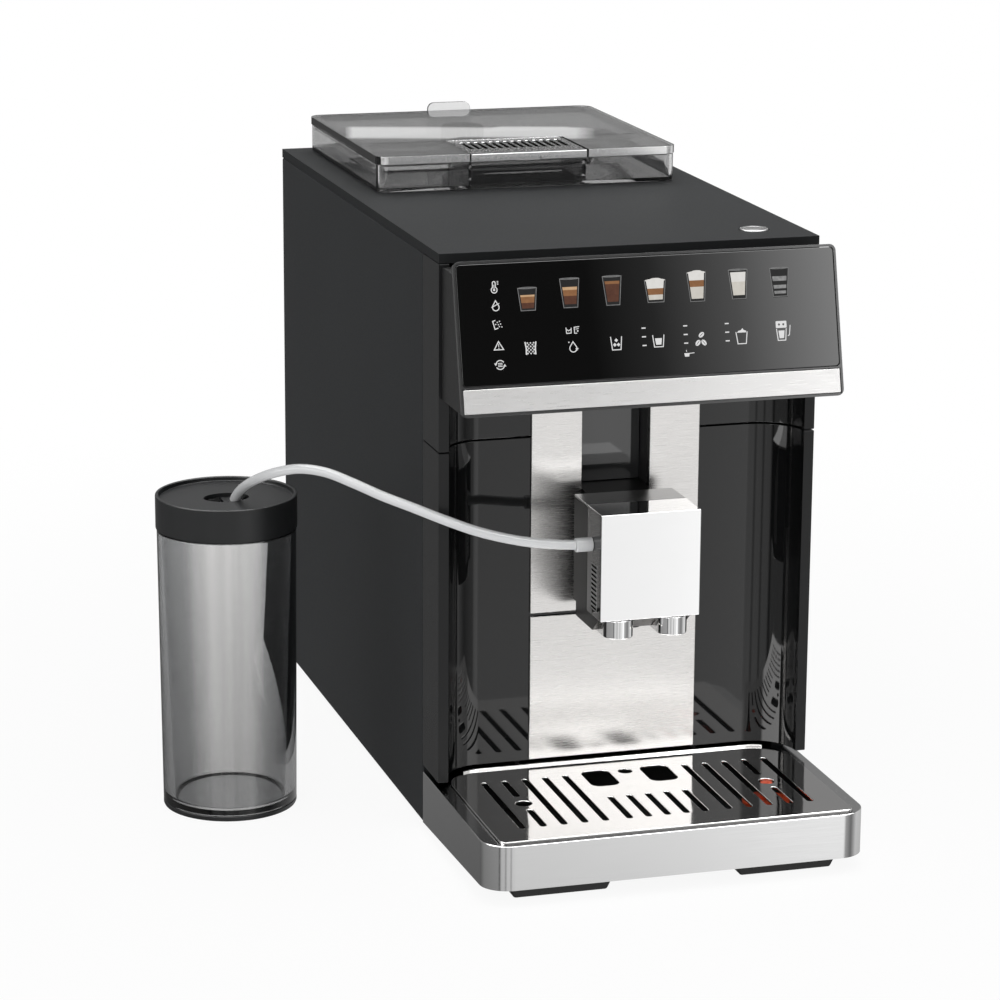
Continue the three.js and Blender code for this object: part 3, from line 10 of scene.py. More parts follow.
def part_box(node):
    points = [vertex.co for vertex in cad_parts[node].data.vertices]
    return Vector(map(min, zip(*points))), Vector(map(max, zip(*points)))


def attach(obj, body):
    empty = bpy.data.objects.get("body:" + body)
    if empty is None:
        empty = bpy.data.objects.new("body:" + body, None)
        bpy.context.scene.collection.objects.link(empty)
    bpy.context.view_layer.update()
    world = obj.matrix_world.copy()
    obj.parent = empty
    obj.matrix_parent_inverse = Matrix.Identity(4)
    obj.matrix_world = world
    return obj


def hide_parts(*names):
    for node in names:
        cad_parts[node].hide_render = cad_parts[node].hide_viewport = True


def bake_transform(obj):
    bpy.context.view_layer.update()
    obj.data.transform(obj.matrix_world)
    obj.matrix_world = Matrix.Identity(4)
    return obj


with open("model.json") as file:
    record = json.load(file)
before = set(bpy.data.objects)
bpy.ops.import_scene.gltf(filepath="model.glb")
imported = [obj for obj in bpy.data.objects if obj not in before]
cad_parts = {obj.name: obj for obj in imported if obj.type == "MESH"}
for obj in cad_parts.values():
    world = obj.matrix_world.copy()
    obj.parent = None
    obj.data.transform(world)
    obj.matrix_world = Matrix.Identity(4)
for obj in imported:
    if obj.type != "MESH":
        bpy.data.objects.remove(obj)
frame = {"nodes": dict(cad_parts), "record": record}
nodes = frame["nodes"]
record = frame["record"]
BODY_OF = {node: body for body, members in record["behaviour"]["bodies"].items() for node in members}
SLOT_OF = {row["node"]: row["material_slot"] for row in record["subparts"]}
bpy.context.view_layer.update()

# Every size below is in millimetres in the machine's own frame: x across from its centre plane,
# y back from the front face of the housing, z up from the table.
MM = 0.001
cover_low, cover_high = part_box("top_cover")
ORIGIN = Vector(((cover_low.x + cover_high.x) / 2, cover_low.y, 0))
TO_ROW = Matrix.Translation(ORIGIN) @ Matrix.Scale(MM, 4)
TO_MACHINE = TO_ROW.inverted()

SIDES = (("left", -1), ("right", 1))
EDGE = 0.35  # rounding of ordinary plastic and sheet edges
THIN_EDGE = 0.3
SMALL_EDGE = 0.4
WIDE_EDGE = 0.6
EDGE_TURNS = 2
SOFT_TURNS = 3  # steps of a rounding that is seen from near
BOLD_TURNS = 4
BEVEL_ANGLE = math.radians(30)
SHARP_ANGLE = math.radians(40)
FLAT_ANGLE = math.radians(1)
MERGE = 0.002  # points nearer than this become one
SAME = 0.0001
NOTHING = 1e-6
OVERRUN = 1  # how far a cutting tool reaches past what it cuts
GAP = 0.3  # between neighbouring pieces
ARC_STEPS = 16  # edges in a quarter turn
CORNER_STEPS = 4  # edges in a small corner
TINY_STEPS = 3
FINE_SIDES = 96  # sides of a large turned piece
SMALL_SIDES = 40
FACING = 0.9  # share of a face's normal along an axis that it faces

BODY_HALF = 105
BODY_HEIGHT = 324
FRAME_DEPTH = 31.5
FRAME_BOTTOM = 36
FRAME_WALL = 2
FRAME_EDGE = 0.55
STRIP_WIDTH = 5.6
STRIP_LIP = 8
NICHE_WALL = 23.5
FRAME_SEAM = 218
SHELL_TOP = 318.5
CHANNEL_BOTTOM = 122
CHANNEL_TOP = 262
CHANNEL_HALF = 18.9
SLIDE_FRONT = 38.4  # the slide behind the neck of the head, in front of the rods
SLIDE_BACK = 39.4
SLIDE_HEIGHTS = (187.6, 261)
SLIDE_CORNER = 0.8
SLIDE_EDGE = 0.2
DRAWER_TOP = 118
DRAWER_GATE = 46.4
PLATE_FRONT = 22
PLATE_THICKNESS = 1.2
PLATE_OUTER = 47.4
PLATE_INNER = 19.2
PLATE_BOTTOM = 120

PANEL_HALF = 104.5
PANEL_FOOT_OUT = 42.8
PANEL_HEAD_OUT = 23.7
PANEL_BOTTOM = 246.5
PANEL_LEAN = math.atan((PANEL_FOOT_OUT - PANEL_HEAD_OUT) / (BODY_HEIGHT - PANEL_BOTTOM))
PANEL_HEIGHT = (BODY_HEIGHT - PANEL_BOTTOM) / math.cos(PANEL_LEAN)
BEZEL_BORDER = 1.3
BEZEL_THICKNESS = 2.4
BEZEL_CORNER = 3.5
BEZEL_DIVIDER = 0.9
GLASS_SET = 0.2
TRIM_HEIGHT = 13.2
TRIM_CORNER = 0.5
TRIM_EDGE = 0.25

BUTTON_PLACE = (78, 27.5)
BUTTON_RADIUS = 7.8
BUTTON_TOP = BODY_HEIGHT + 0.5
# Its rim and the groove in its top: how far in from its radius, and how far below its top
BUTTON_SECTION = ((0, 3.2), (0, 0.5), (0.2, 0.15), (0.6, 0), (1.85, 0), (2, 0.25), (2.4, 0.25), (2.55, 0))

HEAD_OUT = 38.8
HEAD_TOP = 188.8
HEAD_HALF = 27.5
HEAD_BACK = 8.5
COVER_FOOT = 131
COVER_WALL = 1.2
COVER_BACK = -15  # rear ends of the cover's sides
CAP_BACK = -14.6  # the polished cap of the head ends here, a satin part follows
CAP_GROOVE = 0.4
SIDE_STRIP_FRONT = -24.2  # the sides are a lighter grey metal behind this line, a painted reflection, up to the satin part
SIDE_STRIP_GROOVE = 0.05
GRILLE = (-32.2, -21.6, 134.2, 159.8)
GRILLE_EDGE = 0.12
VENTS = 10
VENT_LOW = 135.7
VENT_PITCH = 2.5
VENT_SIZE = (9.2, 1.3)
VENT_FACING = 0.3  # faces turned less than this to the side lie inside the vents
SPOUT_HALF = 8.1
SPOUT_SPACING = 30
SPOUT_DEPTH = 23
SPOUT_SET = 0.5
SPOUT_HEIGHTS = (120.3, 130.4)
SPOUT_BORE = 2.6
NOZZLE_Y = -12
NOZZLE_SECTION = ((0, 126.3), (1.7, 126.3), (1.7, 119.2), (3.4, 119.2), (3.4, 128), (0, 128))
NOZZLE_EDGE = 0.5
NIPPLE_OUT = 28.7  # its outer end, left of the centre plane
NIPPLE_PLACE = (-22.8, 169.5)
NIPPLE_RADIUS = 3.3
NIPPLE_BORE = 1.4
NIPPLE_BORE_DEPTH = 0.6
NIPPLE_LENGTH = 8.2

TRAY_OUT = 95.4
TRAY_BACK = 31.2
TRAY_CORNER = 15
TRAY_RIM = 32.4
TRAY_SKIN = 1.2
TRAY_EDGE = 0.5
TRAY_FRONT_LIFT = 8.2
TRAY_REAR_LIFT = 3.2
FLANGE_THICKNESS = 1.2
FLANGE_FACING = 0.95
GRATE_HALF = 97
GRATE_OUT = 92.6
GRATE_BACK = 20.8
LIP_RISE = 1.1  # the rear edge of the grate is folded up
LIP_REACH = 7
LIP_INSET = 11  # and ends this far in from the sides
GRATE_CORNER = 3.5
LEAST_CORNER = 0.5
GRATE_REAR_CORNER = 20.4
GRATE_TOP = 34
GRATE_THICKNESS = 1.2
GRATE_FOOT = 29.9
SKIRT_INSET = 0.05
SKIRT_EDGE = 0.2
SLOT_WIDTH = 3.5
SLOT_PITCH = 11.4
INNER_SLOT_PITCH = 10.5
INNER_SLOTS = (1, 2)  # places beside the middle, in pitches
OUTER_SLOTS = (3, 4, 5, 7)
SPLIT_SLOT = 6
SLOT_FRONT = 74.4
SHORT_SLOT_BACK = 39
SPLIT_BACK = 26.3
SPLIT_FRONT = 47.3
FLOAT_X = SPLIT_SLOT * SLOT_PITCH
FLOAT_HOLE = 4.4
FLOAT_OUT = 37.6
FLOAT_SECTION = ((0, 11.7), (13, 11.7), (13, 23.7), (3.3, 23.7), (3.3, 33.4), (0, 33.4))
WINDOW_X = 16.7
WINDOW_OUT = 9.3
WINDOW_SIZE = (15.9, 25.6)
WINDOW_CORNER = 5
WINDOW_STEPS = 6
PINHOLE_OUT = 1.6
PINHOLE_RADIUS = 3.9

HOPPER_LID_EDGE = 0.5
HOPPER_LID_FOOT = 338  # the lid's front face is all above this
LID_FRONTAL = 0.7  # share of a normal forward on that face
LID_CORNER = (0.35, 0.3)  # shares sideways and forward at its rounded corners
LID_HEIGHTS = (340, 344.4)  # of the flap in the lid
FLAP_HALF = 34.6
FLAP_FRONT = 186
FLAP_BACK = 231.8
FLAP_BAR_BACK = 236.2  # the hinge bar lies behind the leaf
FLAP_BAR_EDGE = 1.2
FLAP_NOTCH = (7, 1.8)  # half width and height of the finger notch
UPRIGHT = 0.5  # faces whose normal rises less than this stand upright
GRIPS = 14
GRIP_PITCH = 4.4
GRIP_SIZE = (2.4, 24)
GRIP_FRONT = 205

CUP_PLACE = (-196.7, 104)
CUP_BASE_RADIUS = 37
CUP_TOP_RADIUS = 38.2
CUP_WALL = 2.2
CUP_SLANT = (0.03, 0.28)  # how far from square its wall is met where it begins and ends to darken
CUP_FOOT = 0.6
CUP_FLOOR = 4
CUP_HEIGHT = 158
CUP_FOOT_BEND = 1.5
CUP_BEND = 1
RING_HEIGHT = 3
RING_WALL = 1.6
RING_CHAMFER = 1
RING_EDGE = 0.3
RING_FLOOR = 0.6
LID_RADIUS = 38.8
LID_BOTTOM = 158.4
LID_TOP = 177
LID_RECESS = 2.5
LID_RIM = 2
LID_PLUG = 1.5
LID_PLAY = 0.6
LID_EDGE = 0.7
WELL_SIZE = (12.5, 9.75)
BRIDGE = (-1.5, 9)
BRIDGE_THICKNESS = 2
BRIDGE_CORNER = 1
BRIDGE_SUNK = 0.1
BRIDGE_EDGE = 0.05
PORT_PLACE = (3.6, -4.2)
PORT_RADIUS = 3.6
PORT_HEIGHT = 1.4

HOSE_RADIUS = 2.65
HOSE_STEP = 1.5
HOSE_SIDES = 28
CUFF_RADIUS = 3.8  # the cuff is pushed over the nipple
CUFF_LENGTH = 9
HOSE_ROUTE = (
    (-193.1, 99.8, 174), (-192.2, 97.8, 177), (-190, 92.6, 182), (-185.6, 83, 188.4),
    (-177.6, 69.6, 195.4), (-166.5, 57, 200), (-155, 44.5, 200.3), (-143.5, 31.5, 197),
    (-131, 17, 192.6), (-118, 3.5, 188.8), (-105, -8.5, 184.6), (-88, -17.5, 179),
    (-66, -22.6, 173.7), (-46, -23.2, 170.6), (-37, -22.9, 169.7),
)
# Its pieces: the two bodies that each joins, and the point of the route where it ends
HOSE_PARTS = (
    ("milk_hose_start", "container_lid", "milk_container", 4),
    ("milk_hose_middle", "milk_container", "machine", 10),
    ("milk_hose_end", "machine", "dispenser_head", 14),
)

CAMERA_PLACE = (-582.1, -1729.3, 659.4)
CAMERA_ANGLES = (75.428, -0.3367, -16.3662)
CAMERA_LENS = 127.108
CAMERA_CLIP = (0.05, 50)


def linked(name, data):
    """A new object in the scene."""
    thing = bpy.data.objects.new(name, data)
    bpy.context.scene.collection.objects.link(thing)
    return thing


# Camera

def in_row(point):
    return TO_ROW @ Vector(point)


def make_camera():
    data = bpy.data.cameras.new("camera")
    data.lens = CAMERA_LENS
    data.clip_start, data.clip_end = CAMERA_CLIP
    camera = linked("camera", data)
    camera.location = in_row(CAMERA_PLACE)
    camera.rotation_euler = [math.radians(angle) for angle in CAMERA_ANGLES]
    bpy.context.scene.camera = camera


make_camera()


# Materials

NOISE_SPREAD = (0.3, 0.7)  # between these a noise pattern mostly lies
RELIEF_DEPTH = 0.0002
GLOW_STRENGTH = 0.75
ALONG_X = (0.02, 1, 1)


def add(tree, kind, inputs=None, **settings):
    node = tree.nodes.new("ShaderNode" + kind)
    for name, value in settings.items():
        setattr(node, name, value)
    for name, value in (inputs or {}).items():
        if isinstance(value, bpy.types.NodeSocket):
            tree.links.new(value, node.inputs[name])
        else:
            node.inputs[name].default_value = value
    return node


def object_place(tree):
    return add(tree, "TexCoord").outputs["Object"]


def share_of(tree, value, edges, ends=(0.0, 1.0), **settings):
    """The value's place between two edges, told between two ends."""
    node = add(tree, "MapRange", {"Value": value, "From Min": edges[0], "From Max": edges[1],
                                  "To Min": ends[0], "To Max": ends[1]}, **settings)
    return node.outputs["Result"]


def mixed(tree, factor, a, b, kind="RGBA"):
    return add(tree, "Mix", {"Factor": factor, "A": a, "B": b}, data_type=kind).outputs["Result"]


def grey(value, warm=0.0):
    return (value * (1 + warm), value, value * (1 - warm), 1)


def greys(low, high, warm=0.0):
    return (grey(low, warm), grey(high, warm))


def new_material(name):
    material = bpy.data.materials.new(name)
    material.use_nodes = True
    return material, material.node_tree, material.node_tree.nodes["Principled BSDF"]


def surface(name, tones, roughness, patch=18, flow=(1, 1, 1), grain=900, stretch=(1, 1, 1), relief=0.0,
            **principled):
    """Principled shader whose colour varies over patches, with a fine grain in roughness and relief."""
    material, tree, shader = new_material(name)
    place = object_place(tree)
    drawn = add(tree, "Mapping", {"Vector": place, "Scale": stretch}).outputs["Vector"]
    flowing = add(tree, "Mapping", {"Vector": place, "Scale": flow}).outputs["Vector"]
    patches = add(tree, "TexNoise", {"Vector": flowing, "Scale": patch, "Detail": 3.0}).outputs["Fac"]
    fine = add(tree, "TexNoise", {"Vector": drawn, "Scale": grain, "Detail": 2.0}).outputs["Fac"]
    tree.links.new(mixed(tree, patches, *tones), shader.inputs["Base Color"])
    tree.links.new(share_of(tree, fine, NOISE_SPREAD, roughness), shader.inputs["Roughness"])
    if relief:
        bump = add(tree, "Bump", {"Height": fine, "Strength": relief, "Distance": RELIEF_DEPTH})
        tree.links.new(bump.outputs["Normal"], shader.inputs["Normal"])
    for key, value in principled.items():
        shader.inputs[key.replace("_", " ")].default_value = value
    return material


def brushed(name, tones, roughness, relief=0.02, grain=2000, **principled):
    return surface(name, tones, roughness, stretch=ALONG_X, relief=relief, grain=grain, Metallic=1.0,
                   **principled)


def see_through(name, tones, roughness, ior=1.5, **settings):
    return surface(name, tones, roughness, IOR=ior, Transmission_Weight=1.0, **settings)


housing = surface("housing", greys(0.014, 0.018, -0.07), (0.42, 0.5), relief=0.03, grain=2600,
                  Specular_IOR_Level=0.2)
cover_black = surface("cover_black", greys(0.015, 0.019, -0.04), (0.46, 0.54), relief=0.03, grain=2600,
                      Specular_IOR_Level=0.06)
frame_black = surface("frame_black", greys(0.012, 0.015, -0.02), (0.2, 0.26), relief=0.01,
                      Specular_IOR_Level=0.19)
bezel_black = surface("bezel_black", greys(0.03, 0.036), (0.14, 0.2), Coat_Weight=0.4)
gloss = surface("gloss", greys(0.005, 0.006, -0.03), (0.03, 0.05))
glass = surface("glass", greys(0.002, 0.003), (0.02, 0.03), IOR=1.7)
dark = surface("dark", greys(0.012, 0.015), (0.34, 0.44), relief=0.1, grain=2200, Specular_IOR_Level=0.35)
slide_grey = surface("slide_grey", greys(0.03, 0.034, -0.02), (0.03, 0.05), IOR=1.8)
lid_black = surface("lid_black", greys(0.009, 0.012, -0.05), (0.3, 0.38), relief=0.06, grain=2400,
                    Specular_IOR_Level=0.4)
steel = brushed("steel", greys(0.62, 0.67, 0.01), (0.18, 0.26), 0.06)
band_steel = brushed("band_steel", greys(0.66, 0.7), (0.1, 0.16))
trim_steel = brushed("trim_steel", greys(0.54, 0.6, 0.01), (0.26, 0.42), 0.05, 4200)
plate_steel = brushed("plate_steel", greys(0.72, 0.79, 0.02), (0.21, 0.3), 0.003, 3600, Anisotropic=0.75)
mirror_steel = surface("mirror_steel", greys(0.76, 0.8, 0.01), (0.05, 0.09), Metallic=1.0)
chrome = surface("chrome", greys(0.8, 0.84), (0.04, 0.07), Metallic=1.0)
head_steel = brushed("head_steel", greys(0.84, 0.88), (0.08, 0.13))
satin_steel = brushed("satin_steel", greys(0.4, 0.46), (0.28, 0.36))
# Near-black metal: a painted dark reflection on the sides of the head and the top of the tray's flange.
painted_dark_reflection = surface("painted_dark_reflection", greys(0.035, 0.04), (0.06, 0.09), Metallic=1.0)
# A lighter grey metal: a painted reflection on a strip of the head's sides.
side_painted_reflection = surface("side_painted_reflection", greys(0.2, 0.23), (0.3, 0.4), relief=0.03, Metallic=0.9)
grille_steel = surface("grille_steel", greys(0.4, 0.46), (0.4, 0.5), relief=0.03, Metallic=0.9)
head_black = surface("head_black", greys(0.008, 0.011), (0.3, 0.4), relief=0.06, grain=2200,
                     Specular_IOR_Level=0.12)
zinc = surface("zinc", greys(0.3, 0.36), (0.35, 0.5), relief=0.2, Metallic=0.9)
smoke = see_through("smoke", greys(0.58, 0.64), (0.01, 0.02))
lid_smoke = see_through("lid_smoke", greys(0.4, 0.44), (0.0, 0.01))
lid_edge = surface("lid_edge", greys(0.76, 0.84), (0.18, 0.26), Metallic=0.85)
flap_grey = surface("flap_grey", greys(0.2, 0.24), (0.2, 0.3), Metallic=0.6)
# Its tint runs in bands up and down the wall, from 0.64 to 1.2: painted bands of reflected light.
cup_smoke = see_through("cup_smoke", greys(0.64, 1.2, 0.004), (0.01, 0.02), 1.45, patch=70,
                        flow=(1, 1, 0.03))
clear = see_through("clear", greys(0.74, 0.8), (0.03, 0.05), 1.45)
rubber = surface("rubber", greys(0.008, 0.01), (0.55, 0.7), relief=0.2)
hose_skin = surface("hose", greys(0.7, 0.76, -0.01), (0.2, 0.26), Transmission_Weight=0.1)
red = surface("red", ((0.8, 0.09, 0.03, 1), (0.88, 0.12, 0.04, 1)), (0.25, 0.35))
board = surface("board", ((0.01, 0.08, 0.035, 1), (0.015, 0.11, 0.05, 1)), (0.35, 0.45), relief=0.1)


def tinted_through(material, density):
    """Darkens with the length of the way through the material, so most where a wall is seen along it."""
    tree = material.node_tree
    volume = add(tree, "VolumeAbsorption", {"Color": grey(0.02), "Density": density})
    tree.links.new(volume.outputs["Volume"], tree.nodes["Material Output"].inputs["Volume"])


def darker_at_grazing(material, reach, tone):
    """A wall lets less light through where it is met at a slant, as its path in it is longer."""
    tree = material.node_tree
    colour = tree.nodes["Principled BSDF"].inputs["Base Color"]
    slant = add(tree, "LayerWeight").outputs["Facing"]
    share = share_of(tree, slant, reach, interpolation_type="SMOOTHSTEP")
    tree.links.new(mixed(tree, share, colour.links[0].from_socket, tone), colour)


tinted_through(cup_smoke, density=80.0)
darker_at_grazing(cup_smoke, CUP_SLANT, grey(0.52, -0.01))

SLOT_MATERIALS = {
    "housing": housing, "gloss": gloss, "dark": dark, "steel": steel, "chrome": chrome, "zinc": zinc,
    "smoke": smoke, "clear": clear, "rubber": rubber, "hose": hose_skin, "red": red, "board": board,
}


def glow(tone):
    """Lit from behind: a colour that varies a little over the symbol."""
    material, tree, shader = new_material("symbol_" + tone)
    place = object_place(tree)
    noise = add(tree, "TexNoise", {"Vector": place, "Scale": 420.0, "Detail": 2.0}).outputs["Fac"]
    tree.links.new(mixed(tree, noise, *TONES[tone]), shader.inputs["Emission Color"])
    shader.inputs["Base Color"].default_value = grey(0.01)
    for socket, value in (("Emission Strength", GLOW_STRENGTH), ("Specular IOR Level", 0.1),
                          ("Roughness", 0.3)):
        shader.inputs[socket].default_value = value
    return material


TONES = {
    "white": greys(0.9, 1.0),
    "rim": greys(0.14, 0.34),
    "shade": greys(0.008, 0.016),
    "coffee": ((0.07, 0.022, 0.012, 1), (0.16, 0.06, 0.03, 1)),
    "brown": ((0.24, 0.1, 0.035, 1), (0.4, 0.19, 0.08, 1)),
    "crema": ((0.62, 0.36, 0.17, 1), (0.8, 0.55, 0.34, 1)),
    "milk": ((0.68, 0.64, 0.56, 1), (0.86, 0.83, 0.77, 1)),
    "foam": ((0.84, 0.82, 0.78, 1), (1.0, 0.98, 0.95, 1)),
    "water": greys(0.1, 0.5),
}


# Mesh helpers: all work in millimetres in the machine's frame

def shaped(data, *steps):
    """The mesh of a curve or mesh after these modifiers."""
    holder = linked("holder", data)
    for kind, settings in steps:
        modifier = holder.modifiers.new(kind, kind)
        for name, value in settings.items():
            setattr(modifier, name, value)
    graph = bpy.context.evaluated_depsgraph_get()
    mesh = bpy.data.meshes.new_from_object(holder.evaluated_get(graph), depsgraph=graph)
    bpy.data.objects.remove(holder)
    return mesh


def finished(work, name, facing_out=False):
    """The mesh of this work, which ends here."""
    if facing_out:
        bmesh.ops.recalc_face_normals(work, faces=work.faces)
    mesh = bpy.data.meshes.new(name)
    work.to_mesh(mesh)
    work.free()
    return mesh


def cleaned(mesh, flatten=False):
    work = bmesh.new()
    work.from_mesh(mesh)
    bmesh.ops.remove_doubles(work, verts=work.verts, dist=MERGE)
    if flatten:
        bmesh.ops.dissolve_limit(work, angle_limit=FLAT_ANGLE, verts=work.verts, edges=work.edges)
    return finished(work, "cleaned", facing_out=True)


def moved(mesh, matrix):
    mesh.transform(matrix)
    return mesh


def shifted(mesh, x, y, z=0):
    return moved(mesh, Matrix.Translation((x, y, z)))


def carved(mesh, *tools):
    holders = [linked("tool", tool) for tool in tools]
    result = shaped(mesh, *[("BOOLEAN", {"operation": "DIFFERENCE", "solver": "EXACT", "object": holder})
                            for holder in holders])
    for holder in holders:
        bpy.data.objects.remove(holder)
    return result


def joined(*meshes):
    work = bmesh.new()
    for mesh in meshes:
        work.from_mesh(mesh)
    return finished(work, "joined")


def box(x0, x1, y0, y1, z0, z1):
    x0, x1 = sorted((x0, x1))
    work = bmesh.new()
    bmesh.ops.create_cube(work, size=1)
    middle = Vector(((x0 + x1) / 2, (y0 + y1) / 2, (z0 + z1) / 2))
    for vertex in work.verts:
        vertex.co = middle + Vector((vertex.co.x * (x1 - x0), vertex.co.y * (y1 - y0),
                                     vertex.co.z * (z1 - z0)))
    return finished(work, "box")


def arc(centre, radius, start, end, steps=ARC_STEPS):
    """Points on an arc; angles in quarter turns."""
    angles = [math.pi / 2 * (start + (end - start) * i / steps) for i in range(steps + 1)]
    return [(centre[0] + radius * math.cos(a), centre[1] + radius * math.sin(a)) for a in angles]


def round_box(a0, a1, b0, b1, radius, steps=ARC_STEPS, far=None):
    """A rectangle with rounded corners, those at its far side with a radius of their own if given."""
    far = radius if far is None else far
    corners = ((a1 - radius, b0 + radius, radius), (a1 - far, b1 - far, far), (a0 + far, b1 - far, far),
               (a0 + radius, b0 + radius, radius))
    return [point for turn, (a, b, rounding) in enumerate(corners)
            for point in arc((a, b), rounding, turn - 1, turn, steps)]


def circle(centre, radius, steps=SMALL_SIDES):
    return arc(centre, radius, 0, 4, steps)[:-1]


def filleted(points, radius, steps=CORNER_STEPS):
    """The corners of an open profile of points, rounded; its two ends stay."""
    result = [points[0]]
    for before, corner, after in zip(points, points[1:], points[2:]):
        here = Vector(corner)
        a = Vector(before) - here
        b = Vector(after) - here
        reach = min(radius, a.length / 2, b.length / 2)
        first = here + a.normalized() * reach
        last = here + b.normalized() * reach
        for i in range(steps + 1):
            t = i / steps
            point = first * (1 - t) ** 2 + here * 2 * t * (1 - t) + last * t ** 2
            result.append(tuple(point))
    result.append(points[-1])
    return result


def plate(outlines, low, high, edge=EDGE, turns=EDGE_TURNS):
    """Outlines in x and y, the inner ones holes, as a plate with rounded edges."""
    curve = bpy.data.curves.new("outline", "CURVE")
    curve.dimensions = "2D"
    curve.fill_mode = "BOTH"
    curve.extrude = (high - low) / 2 - edge
    curve.bevel_depth = edge
    curve.bevel_resolution = turns
    curve.offset = -edge
    for points in outlines:
        spline = curve.splines.new("POLY")
        spline.points.add(len(points) - 1)
        for target, (a, b) in zip(spline.points, points):
            target.co = (a, b, 0, 1)
        spline.use_cyclic_u = True
    return shifted(cleaned(shaped(curve)), 0, 0, (low + high) / 2)


# An outline in y and z, and the plate's thickness along x
AS_X = Matrix(((0, 0, 1, 0), (1, 0, 0, 0), (0, 1, 0, 0), (0, 0, 0, 1)))
# An outline in x and z, and the plate's thickness along -y
AS_Y = Matrix(((1, 0, 0, 0), (0, 0, -1, 0), (0, 1, 0, 0), (0, 0, 0, 1)))
# An outline across and up the leaning panel, and the plate's thickness out of its face
ON_PANEL = Matrix((
    (1, 0, 0, 0),
    (0, math.sin(PANEL_LEAN), -math.cos(PANEL_LEAN), -PANEL_FOOT_OUT),
    (0, math.cos(PANEL_LEAN), math.sin(PANEL_LEAN), PANEL_BOTTOM),
    (0, 0, 0, 1),
))
# What stands along z laid along x
LAID = Matrix.Rotation(math.pi / 2, 4, "Y")


def skinned(rings, capped=False, merged=False):
    """Faces between rings of as many points each, or of one point."""
    work = bmesh.new()
    placed = [[work.verts.new(point) for point in ring] for ring in rings]
    for low, high in zip(placed, placed[1:]):
        count = max(len(low), len(high))
        for i in range(count):
            j = (i + 1) % count
            corners = [low[i % len(low)], low[j % len(low)], high[j % len(high)], high[i % len(high)]]
            work.faces.new(list(dict.fromkeys(corners)))
    if capped:
        work.faces.new(placed[0])
        work.faces.new(placed[-1])
    if merged:
        bmesh.ops.remove_doubles(work, verts=work.verts, dist=SAME)
    return finished(work, "skinned", facing_out=True)


def turned(profile, sides=FINE_SIDES):
    """A profile of (radius, height) from the axis and back to it, turned about z."""
    rings = [[(x, y, height) for x, y in circle((0, 0), radius, sides if radius > NOTHING else 1)]
             for radius, height in profile]
    return skinned(rings, merged=profile[0][0] > NOTHING and profile[0] == profile[-1])


def catmull(points, step):
    """A smooth line through the points, and how many of its points lie before each given one."""
    ends = [2 * Vector(points[0]) - Vector(points[1]), 2 * Vector(points[-1]) - Vector(points[-2])]
    route = [ends[0], *[Vector(p) for p in points], ends[1]]
    line = []
    marks = []
    for p0, p1, p2, p3 in zip(route, route[1:], route[2:], route[3:]):
        marks.append(len(line))
        t1 = (p1 - p0).length ** 0.5
        t2 = t1 + (p2 - p1).length ** 0.5
        t3 = t2 + (p3 - p2).length ** 0.5
        count = max(2, round((p2 - p1).length / step))
        for i in range(count):
            t = t1 + (t2 - t1) * i / count
            a1 = p0.lerp(p1, t / t1)
            a2 = p1.lerp(p2, (t - t1) / (t2 - t1))
            a3 = p2.lerp(p3, (t - t2) / (t3 - t2))
            b1 = a1.lerp(a2, t / t2)
            b2 = a2.lerp(a3, (t - t1) / (t3 - t1))
            line.append(b1.lerp(b2, (t - t1) / (t2 - t1)))
    marks.append(len(line))
    line.append(route[-2])
    return line, marks


def rings_along(line, radius, sides):
    """Rings of points square to the line, turning with it as little as they can."""
    across = Vector((0, 0, 1)).cross(line[1] - line[0])
    if across.length < NOTHING:
        across = Vector((1, 0, 0))
    rings = []
    for i, point in enumerate(line):
        ahead = line[min(i + 1, len(line) - 1)] - line[max(i - 1, 0)]
        ahead.normalize()
        across = (across - ahead * across.dot(ahead)).normalized()
        other = ahead.cross(across)
        rings.append([point + across * a + other * b for a, b in circle((0, 0), radius, sides)])
    return rings


def softened(node, width=EDGE, turns=EDGE_TURNS):
    """A CAD node's shape with its edges rounded."""
    mesh = cleaned(moved(nodes[node].data.copy(), TO_MACHINE), flatten=True)
    return shaped(mesh, ("BEVEL", {"width": width, "segments": turns, "limit_method": "ANGLE",
                                   "angle_limit": BEVEL_ANGLE, "miter_outer": "MITER_ARC"}))


def dressed(mesh, material):
    mesh.materials.clear()
    mesh.materials.append(material)
    mesh.polygons.foreach_set("use_smooth", [True] * len(mesh.polygons))
    mesh.set_sharp_from_angle(angle=SHARP_ANGLE)


def piece(name, mesh, material, body=None):
    """A piece in the scene. With the name of a node it stands for that and shares its body."""
    dressed(mesh, material)
    mesh = shaped(mesh, ("WEIGHTED_NORMAL", {"keep_sharp": True}))
    mesh.transform(TO_ROW)
    mesh.name = name
    thing = linked(name, mesh)
    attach(thing, body or BODY_OF[name])
    if name in nodes:
        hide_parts(name)
    return thing


def painted(thing, material, chosen):
    """A second material on the faces whose middle and normal, in the machine's frame, are chosen."""
    thing.data.materials.append(material)
    index = len(thing.data.materials) - 1
    for face in thing.data.polygons:
        if chosen(TO_MACHINE @ face.center, face.normal):
            face.material_index = index


# Milk hose: one smooth line cut in three pieces at points of its route

def hose():
    line, marks = catmull(HOSE_ROUTE, HOSE_STEP)
    rings = rings_along(line, HOSE_RADIUS, HOSE_SIDES)
    first = 0
    for name, start_body, end_body, mark in HOSE_PARTS:
        last = marks[mark]
        mesh = moved(skinned(rings[first:last + 1], capped=True), TO_ROW)
        dressed(mesh, hose_skin)
        thing = linked(name, mesh)
        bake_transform(thing)
        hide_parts("milk_hose")
        first = last


